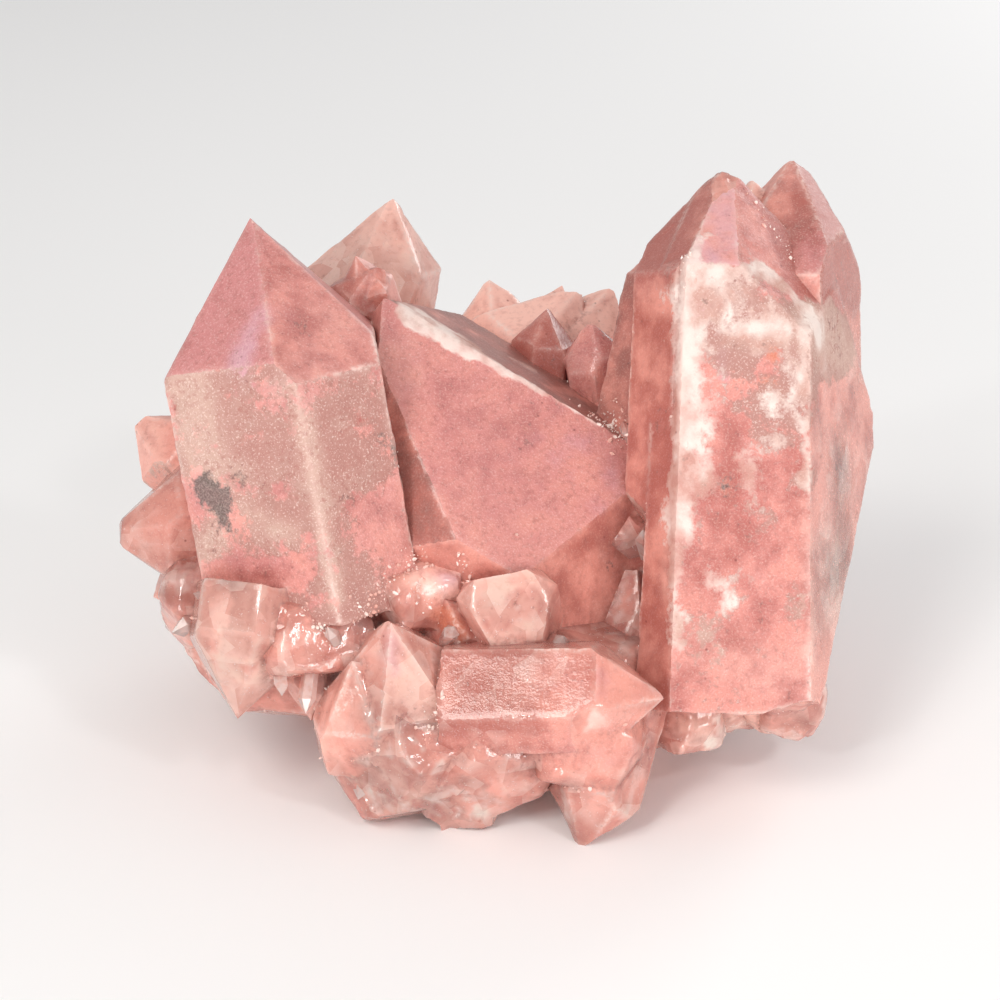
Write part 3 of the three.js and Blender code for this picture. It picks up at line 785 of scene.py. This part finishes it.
# %% Veils, clouds and streaks
at = tri.ravel()
along = (point * axes[owned_by]).sum(1)[:, None] * axes[owned_by]
veil = rough(point, 11.0, 201, layers=3)[at]
cloud = rough(point, 2.9, 205, layers=4, fade=0.6)[at]
streak = rough(point - 0.75 * along, 1.7, 211, layers=3, fade=0.6)[at]
rungs = rough(point + 1.5 * along, 3.0, 215, layers=3, fade=0.6)[at]
frayed = 0.28 * cloud + 0.12 * rough(point, 0.9, 221, layers=2)[at]
tone = corner_value(tri_face, tri_face * 7, owner[tri_face], 231)[:, None].repeat(3, 1).ravel()
print("clouds run from", cloud.min().round(2), "to", cloud.max().round(2))

# %% The body
BODY_COLOUR = "#DC9486"
REFRACTION_LINE_AT, REFRACTION_LINE_WIDTH = 0.8, 0.32
glassy = rise(look("clear"), 0.15, 0.6)
chipped = (0.6 * large_tone + 0.4 * small_tone)[at]
chip_share = broken[at] * glassy
painted_inner_slope, inner_tone = chips(point - 0.55 * along + 0.5 * large_tone[:, None], 2.7, 271)
# Painted highlight and shade: light and dark arcs round the shell-shaped break stand in for the bright lines
# on its ripples.
painted_arc_light = np.sin(2 * np.pi * ripple_way / (1.6 + 0.16 * ripple_way) + 1.5 * noise(point, 3.0, 261))[at]
painted_arc_share = 0.5 * glassy * shell[at]
# Painted shade: a dark line about 0.8 mm inside the ridges of glossy quartz, where refraction darkens the
# edges of a real crystal.
beside_ridge_line = np.exp(-(((from_ridge - REFRACTION_LINE_AT) / REFRACTION_LINE_WIDTH) ** 2))[at]
painted_refraction_shade = 0.4 * beside_ridge_line * rise(look("gloss"), 0.2, 0.8) * rise(cloud, -0.6, 0.6)
#  colour, share
BODY_COATS = [
    ("#C87A6D", 0.7 * rise(cloud + 0.5 * streak, 0.0, 1.3)),
    ("#EAB3A4", 0.55 * rise(veil + 0.4 * cloud, 0.2, 1.1)),
    ("#FAC7B8", 0.9 * rise(look("pale") + 0.6 * frayed, 0.1, 0.95)),
    ("#C27C7C", 0.92 * rise(look("rose") + 0.6 * frayed, 0.05, 1.0)),
    ("#AC6864", 0.55 * rise(look("rose"), 0.2, 0.8) * rise(cloud + rungs, 0.1, 1.3)),
    ("#A85C52", 0.92 * rise(look("deep") + 1.1 * frayed, 0.2, 1.0)),
    ("#835E57", 0.85 * rise(look("smoke") + 0.8 * frayed, 0.1, 1.0)),
    # lilac: a mauve tint, partly a painted sheen
    ("#D2A3B0", 0.85 * rise(look("lilac_and_sheen") + 0.8 * frayed, 0.15, 0.95)),
    ("#CF8064", 0.7 * rise(look("orange") + 1.2 * frayed, 0.3, 0.8)),
    ("#F4AA9B", 0.8 * glassy * rise(1.1 - look("pale"), 0.1, 1.0)),
    ("#CE7165", 0.6 * glassy * rise(cloud + 0.6 * veil, 0.1, 1.3)),
    ("#FDE9E0", 0.6 * glassy * rise(streak, 0.5, 0.8) * rise(veil, -0.4, 0.4)),
    ("#C87468", 0.55 * glassy * rise(-streak - 0.4 * cloud, 0.35, 1.1)),
    # painted highlight and shade on the shell's ripples
    ("#FBD8CC", painted_arc_share * rise(painted_arc_light, 0.5, 1.0)),
    ("#C8695E", painted_arc_share * rise(-painted_arc_light, 0.3, 1.0)),
    ("#FDEAE2", 0.5 * chip_share * rise(chipped, 0.4, 0.55)),
    ("#CC8074", 0.5 * chip_share * rise(-chipped, 0.3, 0.5)),
    # painted shade of refraction beside the ridges
    ("#A9594F", painted_refraction_shade),
]
body = np.tile(linear(BODY_COLOUR)[:3], (len(at), 1))
for code, amount in BODY_COATS:
    body = paint(body, code, amount)
body *= (1.0 + (0.03 + 0.09 * glassy) * tone + 0.14 * chip_share * chipped)[:, None]
# inner_tone is a random tone for each cell. The slope across each cell is painted light and shade, as if a
# tilted plane inside caught the light.
body *= (1.0 + glassy * (0.15 * inner_tone + 0.22 * painted_inner_slope)[at])[:, None]
body = np.clip(body, 0.0, 0.92)
print("mean body colour", body.mean(0).round(3))

# %% Shares of crust, chalk and blots
ragged = 0.55 * rough(point, 3.4, 241, layers=4, fade=0.65)[at]
crust_share = look("crust") + 0.75 * ragged * rise(look("crust"), 0.0, 0.12)
white_share = look("white") + (0.6 * ragged + 0.2 * streak) * rise(look("white"), 0.0, 0.05)
grey_share = look("grey") + 0.9 * frayed
print("crust share over a half:", (crust_share > 0.5).mean().round(3))

# %% [markdown]
# ## From arrays to a mesh
# The frame's solid stays hidden and this skin stands for it. Colour and shares go along as attributes on the
# triangle corners, so that they may change abruptly at a crystal edge, as frost and crust really do.
# Faces are shaded smooth except where they meet at more than 30 degrees.

# %% The skin
CREASE = np.radians(30.0)
RIDGE_WIDTH, NOOK_WIDTH = 0.30, 0.8


def new_object(name, data):
    """Makes an object of a mesh, a lamp or a camera and puts it into the scene."""
    made = bpy.data.objects.new(name, data)
    bpy.context.scene.collection.objects.link(made)
    return made


def new_piece(name, points_mm, faces):
    """Puts arrays of points and faces into a mesh whose object sits at the origin, and tells the frame."""
    mesh = bpy.data.meshes.new(name)
    mesh.from_pydata((points_mm * MM).astype(np.float32), [], faces.tolist())
    piece = new_object(name, mesh)
    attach(piece, "root")
    return piece


def add_attribute(piece, name, domain, values):
    """Hangs one number on every point or corner of a piece, for its material to read."""
    attribute = piece.data.attributes.new(name, "FLOAT", domain)
    attribute.data.foreach_set("value", np.ascontiguousarray(values, np.float32))


skin = new_piece("quartz_points", shape, tri)
skin.data.shade_smooth()
skin.data.set_sharp_from_angle(angle=float(CREASE))
tint = skin.data.attributes.new("body", "FLOAT_COLOR", "CORNER")
tint.data.foreach_set("color", np.column_stack([body, np.ones(len(body))]).astype(np.float32).ravel())
corner_values = {
    "crust": crust_share,
    "cream": look("pale") + 0.22 * cloud,
    "white": white_share,
    "grey": grey_share,
    "clear": look("clear") + 0.25 * veil,
    "gloss": look("gloss"),
    "frost": np.maximum(look("rose"), 0.35 * (1.0 - look("gloss"))),
    "cloud": cloud,
}
for name, values in corner_values.items():
    add_attribute(skin, name, "CORNER", values)
# The ridge share lightens the colour along sharp ridges: partly wear, partly a painted highlight. It is
# weaker on broken quartz and on the middle crystal.
hard = (1.0 - 0.85 * broken) * (0.25 + 0.75 * rise(noise(point, 5.0, 251), -0.3, 0.6))
hard *= np.where(point_owner == names.index("middle"), 0.35, 1.0)
add_attribute(skin, "ridge", "POINT", np.exp(-((from_ridge / RIDGE_WIDTH) ** 2)) * hard)
# nook: close to where two crystals meet; the material darkens there as painted shade.
add_attribute(skin, "nook", "POINT", np.exp(-((from_nook / NOOK_WIDTH) ** 2)))
add_attribute(skin, "below_tip", "POINT", below * MM)
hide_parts("quartz_cluster")
print(skin.name, len(skin.data.polygons), "triangles")

# %% [markdown]
# ## Sugar
# Where crystals meet and on some ridges sits druse, quartz grains under a millimetre that glint. Each is the
# same small closed point with 24 faces. One array product turns, scales and places all of them, and they
# end up in one mesh, which is far lighter than hundreds of objects.

# %% One grain
GRAIN_TIP, GRAIN_SHOULDER, GRAIN_FOOT, GRAIN_END = 0.9, 0.3, -0.7, -1.0
UNEVEN_LEAN = 0.44
hexagon = 0.5 * np.stack([np.cos(SIX_TURNS), np.sin(SIX_TURNS)], 1)
ends = [[0.06, 0.03, GRAIN_TIP], [0.0, 0.0, GRAIN_END]]
levels = [np.column_stack([hexagon, np.full(6, z)]) for z in (GRAIN_FOOT, GRAIN_SHOULDER)]
grain_points = np.vstack([*levels, ends])
six, top, bottom = np.arange(6), np.full(6, 12), np.full(6, 13)
nxt = (six + 1) % 6
fans = [(six, nxt, nxt + 6), (six, nxt + 6, six + 6), (six + 6, nxt + 6, top), (nxt, six, bottom)]
grain_faces = np.vstack([np.column_stack(fan) for fan in fans])


def run_together(points):
    """Lists the points of all grains in one run, with the faces' numbers counted on from grain to grain."""
    before = points.shape[1] * np.arange(len(points))
    return points.reshape(-1, 3), (grain_faces + before[:, None, None]).reshape(-1, 3)


def grains(sites, up, size):
    """Places grains: a random turn about `up`, a lean of up to 50 degrees from it, and a size for each.
    A point of the template is size times (x * side + y * other + z * up)."""
    n = len(sites)
    lean = unit(up + UNEVEN_LEAN * dice.normal(size=(n, 3)))
    side = unit(np.cross(lean, dice.normal(size=(n, 3))))
    turned = np.stack([side, np.cross(lean, side), lean], 1)
    stretch = dice.uniform(0.8, 1.5, (n, 1)) ** np.array([0.0, 0.0, 1.0])
    local = grain_points[None] * stretch[:, None]
    return run_together(sites[:, None] + size[:, None, None] * np.einsum("gpc,gcd->gpd", local, turned))


print(len(grain_faces), "faces to a grain")

# %% Where the druse grows
#  from (a, b, w), to (a, b, w), radius, amount
DRUSE = [
    ((-14, -11, 13.8), (-8, -5.5, 10), 1.2, 1),
    ((-8.2, -4.9, 8.9), (-3, -4.6, 9.6), 1.3, 0.9),
    ((-3, -4, 9), (3, -6.5, 8.5), 1, 0.8),
    ((-9.8, -8.2, 12), (-7, -10.4, 12), 1.1, 0.9),
    ((-3.6, -6.2, 11), (-3.2, -8.4, 11.4), 0.8, 0.9),
    ((11, 9.5, 0.5), (13, 7, 2), 1.6, 1),
    ((-5.8, -14.2, 16), (-6.6, -21.5, 16), 0.7, 1),
    ((-6.6, -21.5, 15.6), (-8.2, -26, 14.6), 0.7, 0.8),
    ((-19, -11.5, 13), (-17, -14, 13), 1.1, 0.9),
    ((-21, -13, 12), (-18, -22, 10), 1, 0.6),
    ((11, -11, 8), (15, -6, 5), 0.8, 0.6),
    ((19.2, 22.4, 12.2), (18.6, 24.6, 11.4), 0.8, 0.7),
    ((25.5, 32.2, 4.4), (30.6, 24.5, 6.5), 0.5, 0.8),
]
SMALLEST_GRAIN, GRAIN_SPREAD = 0.11, 0.33
skin_normal = skin_normals(shape)
chance = 0.15 * rise(0.9 - from_nook, 0.0, 0.9) * rise(noise(point, 4.0, 91), 0.0, 0.6)
for a, b, radius, amount in DRUSE:
    chance = np.maximum(chance, 0.85 * amount * capsule(shape, on_show_side(a), on_show_side(b), radius))
chance *= (shape[:, 2] > 1.0) & (shape[:, 2] < high[2] - 1.0)
sites = np.flatnonzero(dice.random(len(shape)) < chance)
sizes = SMALLEST_GRAIN + GRAIN_SPREAD * dice.random(len(sites)) ** 3
grain_at, grain_tri = grains(shape[sites], skin_normal[sites], sizes)
druse = new_piece("druse_grains", np.clip(grain_at, low, high), grain_tri)
print(len(sites), "grains,", len(grain_tri), "triangles")

# %% [markdown]
# ## Small clear points
# Young crystals of clear quartz stick out between the old ones. They are too small for the solid, so they
# are added here. Each is a six-sided prism with a tip, its corners pushed off the regular shape a little,
# since no real crystal is regular. The grain's faces serve again: a prism, a tip and a shut foot.

# %% Small points
#  tip (a, b, w), turn, nod, spin, length, width
SMALL_POINTS = [
    ((-19.4, -21.4, 14.2), 186, 24, 8, 5, 1.9),
    ((-21.8, -19.6, 14), 170, 30, 20, 4, 1.4),
    ((-17.2, -12.6, 15), -24, 50, 4, 4, 1.6),
    ((-4.6, -12.6, 14.2), 30, 62, 10, 4, 1.8),
    ((6.4, -13.6, 13.6), 24, 56, 24, 4, 1.7),
    ((14.6, -3, 8.6), -18, 48, 0, 4.5, 1.9),
    ((-31, -9.4, 11.6), -70, 40, 16, 4, 1.7),
    ((-33.6, -13.6, 8.4), -118, 30, 30, 4.5, 1.9),
    ((12.8, 8.2, 4.2), -30, 40, 12, 4, 1.6),
    ((-14.4, -30.4, 10.6), -160, 30, 20, 4, 1.6),
]
small_tips = on_show_side([row[0] for row in SMALL_POINTS])
small_numbers = np.array([row[1:] for row in SMALL_POINTS], float).T
SHOULDER_DOWN = 0.8


def small_points(tip_at, axis, spin, length, width):
    """Corner i of a prism is at the angle 60 i + spin and width / 2 times 0.85 to 1.15 from the axis; the tip
    stands 0.8 widths above the shoulder, and its corners slip up or down by a fifth of the width."""
    n = len(tip_at)
    first = unit(np.cross(axis, SHOW_AXES[2] + 0.01))
    reach = 0.5 * width[:, None] * dice.uniform(0.85, 1.15, (n, 6))
    ring = reach[..., None] * outwards(axis, first, np.radians(spin)[:, None] + SIX_TURNS)
    slip = (dice.uniform(-0.2, 0.2, (n, 6)) - SHOULDER_DOWN) * width[:, None]
    shoulder = ring + slip[..., None] * axis[:, None]
    foot = ring * 0.9 - length[:, None, None] * axis[:, None]
    ends = np.stack([np.zeros((n, 3)), -(length + 0.3)[:, None] * axis], 1)
    return run_together(tip_at[:, None] + np.concatenate([foot, shoulder, ends], 1))


small_at, small_tri = small_points(small_tips, aimed(*small_numbers[:2]), *small_numbers[2:])
clear = new_piece("clear_points", np.clip(small_at, low, high), small_tri)
print(len(SMALL_POINTS), "small points,", len(small_tri), "triangles")

# %% [markdown]
# ## Nodes in a few words
# A node tree is easier to read as a formula. These helpers add one node each and return its output, so that
# a layer of colour becomes one line. Sizes are given in metres, as the object coordinates are.

# %% Node helpers
QUARTZ_IOR = 1.544
QUARTZ_INSIDE = "#F2B3A6"


class Tree:
    """The node tree of one new material."""

    def __init__(self, name):
        self.material = bpy.data.materials.new(name)
        self.material.use_nodes = True
        self.nodes = self.material.node_tree.nodes
        self.nodes.clear()
        self.place = self.add("ShaderNodeTexCoord", {}).outputs["Object"]

    def add(self, kind, inputs, **settings):
        """Adds a node. An input that comes from another node is linked, and any other is a plain value."""
        node = self.nodes.new(kind)
        for key, value in settings.items():
            setattr(node, key, value)
        for key, value in inputs.items():
            if isinstance(value, bpy.types.NodeSocket):
                self.material.node_tree.links.new(value, node.inputs[key])
            else:
                node.inputs[key].default_value = value
        return node

    def value_of(self, name, output="Fac"):
        """What the mesh carries under this name."""
        return self.add("ShaderNodeAttribute", {}, attribute_name=name).outputs[output]

    def grain(self, size, detail=3.0, roughness=0.55, place=None):
        """Noise from 0 to 1 whose largest spots are `size` metres wide."""
        inputs = {"Vector": place or self.place, "Scale": 1.0 / size, "Detail": detail}
        return self.add("ShaderNodeTexNoise", inputs | {"Roughness": roughness}).outputs["Fac"]

    def cells(self, size):
        """Space divided into cells about `size` metres wide, each round its own seed."""
        return self.add("ShaderNodeTexVoronoi", {"Vector": self.place, "Scale": 1.0 / size})

    def sum(self, a, b, scale=1.0):
        """a + b * scale"""
        return self.add("ShaderNodeMath", {0: b, 1: scale, 2: a}, operation="MULTIPLY_ADD").outputs[0]

    def product(self, a, b):
        """a * b"""
        return self.add("ShaderNodeMath", {0: a, 1: b}, operation="MULTIPLY").outputs[0]

    def vector(self, a, b, operation, output=0):
        """The difference or the dot product of two vectors."""
        return self.add("ShaderNodeVectorMath", {0: a, 1: b}, operation=operation).outputs[output]

    def band(self, value, low, high, to_low=0.0, to_high=1.0):
        """Rises straight from to_low at the value low to to_high at the value high."""
        inputs = {"Value": value, "From Min": low, "From Max": high, "To Min": to_low, "To Max": to_high}
        return self.add("ShaderNodeMapRange", inputs).outputs["Result"]

    def blend(self, under, over, share):
        """The colour under, covered by the colour over as far as share says."""
        colours = {6: linear(under) if isinstance(under, str) else under}
        colours[7] = linear(over) if isinstance(over, str) else over
        node = self.add("ShaderNodeMix", {0: share, **colours}, data_type="RGBA", clamp_factor=True)
        return node.outputs[2]

    def surface(self, inputs):
        """The surface itself, which mirrors and scatters light as its inputs say."""
        return self.add("ShaderNodeBsdfPrincipled", inputs).outputs[0]

    def dress(self, piece, surface, density=0.0):
        """Ends the tree with a surface and, where a density is given, pink absorption inside the quartz:
        of each colour, exp(-density * d * (1 - colour)) is left after d metres."""
        ends = {"Surface": surface}
        if density:
            inside = {"Color": linear(QUARTZ_INSIDE), "Density": density}
            ends["Volume"] = self.add("ShaderNodeVolumeAbsorption", inside).outputs[0]
        self.add("ShaderNodeOutputMaterial", ends)
        piece.data.materials.append(self.material)
        print(self.material.name, "has", len(self.nodes), "nodes")


t = Tree("pink_quartz")
print("first material:", t.material.name)

# %% [markdown]
# ## Fine grain, crust, and ridges with wear and a painted highlight
# On the body lies what is finer than half a millimetre: the sandy grain of frosted faces, darker pores, and
# the ragged rim of the crust, whose share rises steeply through a narrow band. Dark specks come from cell
# noise: only near a cell's seed, and only in the few cells whose random colour is high enough.

# %% Grain and crust
fleck = t.grain(0.0006, 2.0, 0.65)
dust = t.grain(0.00019, 1.0)
grit = t.sum(-0.5, fleck)
frost = t.value_of("frost")
cloudy = t.value_of("cloud")
colour = t.value_of("body", "Color")
colour = t.blend(colour, "#94504B", t.product(t.band(fleck, 0.5, 0.72), t.band(frost, 0.0, 0.7, 0.16, 0.45)))
colour = t.blend(colour, "#F6DCD3", t.product(t.band(dust, 0.5, 0.78), t.band(frost, 0.0, 0.7, 0.10, 0.28)))


def coat(name, fray, low, high, most=1.0):
    """The share of a coat: its rim is frayed by the grit and rises steeply between low and high."""
    return t.band(t.sum(t.value_of(name), grit, fray), low, high, 0.0, most)


crust = coat("crust", 0.9, 0.38, 0.62)
beige = t.blend("#A97B72", "#C2A295", t.band(t.value_of("cream"), -0.05, 0.55))
beige = t.blend(beige, "#A5685F", t.product(t.band(fleck, 0.5, 0.66), t.band(cloudy, -0.7, 0.8, 0.1, 0.7)))
beige = t.blend(beige, "#F0E0D7", t.band(dust, 0.56, 0.74, 0.0, 0.5))
colour = t.blend(colour, beige, t.product(crust, 0.86))
white = coat("white", 0.9, 0.34, 0.7)
chalk = t.blend("#EBDCD4", "#D0A598", t.band(t.sum(cloudy, fleck, 1.0), 0.2, 1.2))
colour = t.blend(colour, chalk, t.product(white, t.band(cloudy, -0.8, 1.0, 0.9, 0.5)))
grey = coat("grey", 1.2, 0.35, 0.7, 0.85)
colour = t.blend(colour, t.blend("#4F4644", "#857772", t.band(dust, 0.35, 0.65)), grey)
print("nodes so far:", len(t.nodes))

# %% Specks, ridges and nooks
# Painted light and shade: in each cell of clear quartz the colour turns lighter on one side of the seed and
# darker on the other, like a tilted plane inside catching the light.
planes = t.cells(0.0031)
glass_share = t.band(t.value_of("clear"), 0.1, 0.6)
slope = t.vector(planes.outputs["Color"], (0.5, 0.5, 0.5), "SUBTRACT")
from_seed = t.vector(t.place, planes.outputs["Position"], "SUBTRACT")
painted_facet_shading = t.vector(slope, from_seed, "DOT_PRODUCT", "Value")
colour = t.blend(colour, "#FFE6DB", t.product(t.band(painted_facet_shading, 0.00008, 0.00055, 0.0, 0.28), glass_share))
colour = t.blend(colour, "#B8604F", t.product(t.band(painted_facet_shading, -0.00008, -0.00055, 0.0, 0.26), glass_share))
# Painted glints: near-white specks in the colour of clear quartz stand in for tiny sparkles of light.
glint = t.product(t.band(dust, 0.62, 0.72), t.band(fleck, 0.52, 0.66, 0.0, 0.7))
colour = t.blend(colour, "#FFF6F0", t.product(glint, glass_share))
pepper = t.cells(0.0014)
pepper_pick = t.product(t.band(pepper.outputs["Color"], 0.66, 0.7), t.band(cloudy, -0.3, 0.3))
pepper_dot = t.product(t.band(pepper.outputs["Distance"], 0.05, 0.13, 1.0, 0.0), pepper_pick)
colour = t.blend(colour, "#7A3B36", t.product(pepper_dot, 0.7))
# Ridges: a pale line, partly wear and partly a painted highlight.
colour = t.blend(colour, "#F3D8CE", t.product(t.value_of("ridge"), t.band(fleck, 0.38, 0.62, 0.1, 0.8)))
# Nooks: painted shade, a darker red where two crystals meet.
colour = t.blend(colour, "#A05E55", t.product(t.value_of("nook"), t.band(fleck, 0.4, 0.65, 0.1, 0.5)))
covered = t.add("ShaderNodeMath", {0: crust, 1: white}, operation="MAXIMUM").outputs[0]
print("nodes so far:", len(t.nodes))

# %% [markdown]
# ## Frost, gloss and depth
# Frosted faces scatter light, broken and front crystals shine, crust is dull. Where quartz is clear, light
# goes through it: a glass shader with quartz's index of 1.544 is mixed with the milky one, as far as the
# attribute says, and the inside absorbs light with an even pink.

# %% Surface and depth
roughness = t.band(t.value_of("gloss"), 0.0, 1.0, 0.42, 0.06)
roughness = t.sum(roughness, covered, 0.30)
roughness = t.sum(roughness, grit, 0.16)
strip_place = {"X": t.value_of("below_tip"), "Y": t.product(cloudy, 0.0004)}
strips = t.grain(0.0005, 1.0, 0.6, place=t.add("ShaderNodeCombineXYZ", strip_place).outputs[0])
sand = t.band(frost, 0.0, 0.8, 0.1, 0.7)
height = t.sum(t.product(dust, sand), t.product(fleck, t.band(frost, 0.0, 0.5, 0.35, 0.85)))
height = t.sum(t.sum(height, strips, 0.35), covered, 0.6)
bump = t.add("ShaderNodeBump", {"Height": height, "Strength": 0.6, "Distance": 0.00009}).outputs[0]

# Painted glow: faces seen from inside the quartz take a near-white colour, so the clear parts glow brighter
# from within.
inside = t.add("ShaderNodeNewGeometry", {}).outputs["Backfacing"]
colour = t.blend(colour, "#FFF1EC", t.product(inside, 0.9))
inputs = {"Base Color": colour, "Roughness": roughness, "Normal": bump, "IOR": QUARTZ_IOR}
milky = t.surface(inputs)
glass = t.surface(inputs | {"Base Color": t.blend(colour, "#FFF6F2", 0.75), "Transmission Weight": 0.95})
share = t.product(t.band(t.value_of("clear"), 0.22, 0.9, 0.0, 0.72), t.band(covered, 0.0, 1.0, 1.0, 0.05))
t.dress(skin, t.add("ShaderNodeMixShader", {0: share, 1: milky, 2: glass}).outputs[0], density=20.0)

# %% Druse and clear points
t = Tree("druse")
sugar = t.blend("#F7E6DE", "#E0AC9F", t.band(t.grain(0.0025, 1.0), 0.4, 0.65))
t.dress(druse, t.surface({"Base Color": sugar, "Roughness": 0.12, "IOR": QUARTZ_IOR}))

t = Tree("clear_quartz")
veiled = t.band(t.grain(0.0016, 3.0), 0.42, 0.66)
inputs = {"Base Color": t.blend("#FBEAE4", "#E9A99B", veiled), "Transmission Weight": 0.6}
inputs |= {"Roughness": t.band(veiled, 0.0, 1.0, 0.03, 0.2), "IOR": QUARTZ_IOR}
t.dress(clear, t.surface(inputs), density=60.0)

# %% [markdown]
# ## Floor, light and camera
# The photograph has plain bright daylight and a white ground. A pale floor gives the stone something to stand
# on and to glow against. A large lamp makes the main light, two low ones fill the undersides, two small ones
# put glints on the facets and one behind rims the crystals. The camera looks down by 25 degrees.

# %% Floor
HALF_FLOOR = 3
floor_mesh = bpy.data.meshes.new("floor")
floor_corners = [(HALF_FLOOR * x, HALF_FLOOR * y, 0) for x, y in ((-1, -1), (1, -1), (1, 1), (-1, 1))]
floor_mesh.from_pydata(floor_corners, [], [(0, 1, 2, 3)])
floor = new_object("floor", floor_mesh)
t = Tree("pale_floor")
t.dress(floor, t.surface({"Base Color": linear("#F8F8F8"), "Roughness": 0.7}))
print("floor", [round(side, 2) for side in floor.dimensions], "m")

# %% Light
SKY_STRENGTH = 0.56


def lamp(name, a, b, w, size, watts, code):
    """A square lamp at a place on the show side, in metres from its centre, turned to face the cluster."""
    data = bpy.data.lights.new(name, "AREA")
    data.size, data.energy, data.color = size, watts, linear(code)[:3]
    made = new_object(name, data)
    centre = Vector(SHOW_CENTRE * MM)
    made.location = Vector(np.array([a, b, w]) @ SHOW_AXES) + centre
    made.rotation_euler = (centre - made.location).to_track_quat("-Z", "Y").to_euler()
    return made


#  name, place (a, b, w), size, watts, colour
lamp("main", -0.22, 0.26, 0.45, 0.20, 0.98, "#FFFBF5")
lamp("low left", -0.20, -0.18, 0.38, 0.12, 0.55, "#FFF9F6")
lamp("low right", 0.30, -0.10, 0.34, 0.14, 0.67, "#FFF9F6")
lamp("glint left", -0.20, 0.08, 0.40, 0.045, 0.28, "#FFFFFF")
lamp("glint right", 0.22, 0.16, 0.38, 0.045, 0.22, "#FFFFFF")
lamp("back", 0.34, 0.38, -0.30, 0.26, 0.8, "#FFFFFF")
world = bpy.data.worlds.new("studio")
world.use_nodes = True
sky = world.node_tree.nodes["Background"].inputs
sky["Color"].default_value = linear("#FBFAFA")
sky["Strength"].default_value = SKY_STRENGTH
bpy.context.scene.world = world
bpy.context.scene.view_settings.view_transform = "Standard"

# %% Camera
CAMERA_AWAY = 0.250
LENS_MM, SENSOR_MM = 85.0, 36.0
camera = new_object("camera", bpy.data.cameras.new("camera"))
camera.data.lens = LENS_MM
camera.data.sensor_width = SENSOR_MM
camera.location = Vector(SHOW_CENTRE * MM) + Vector(SHOW_AXES[2]) * CAMERA_AWAY
camera.rotation_euler = Vector(SHOW_AXES[2]).to_track_quat("Z", "Y").to_euler()
bpy.context.scene.camera = camera
print("camera at", [round(c, 3) for c in camera.location])

# %% Size of the solid
print("solid", [[round(v / MM, 2) for v in c] for c in cad_box])
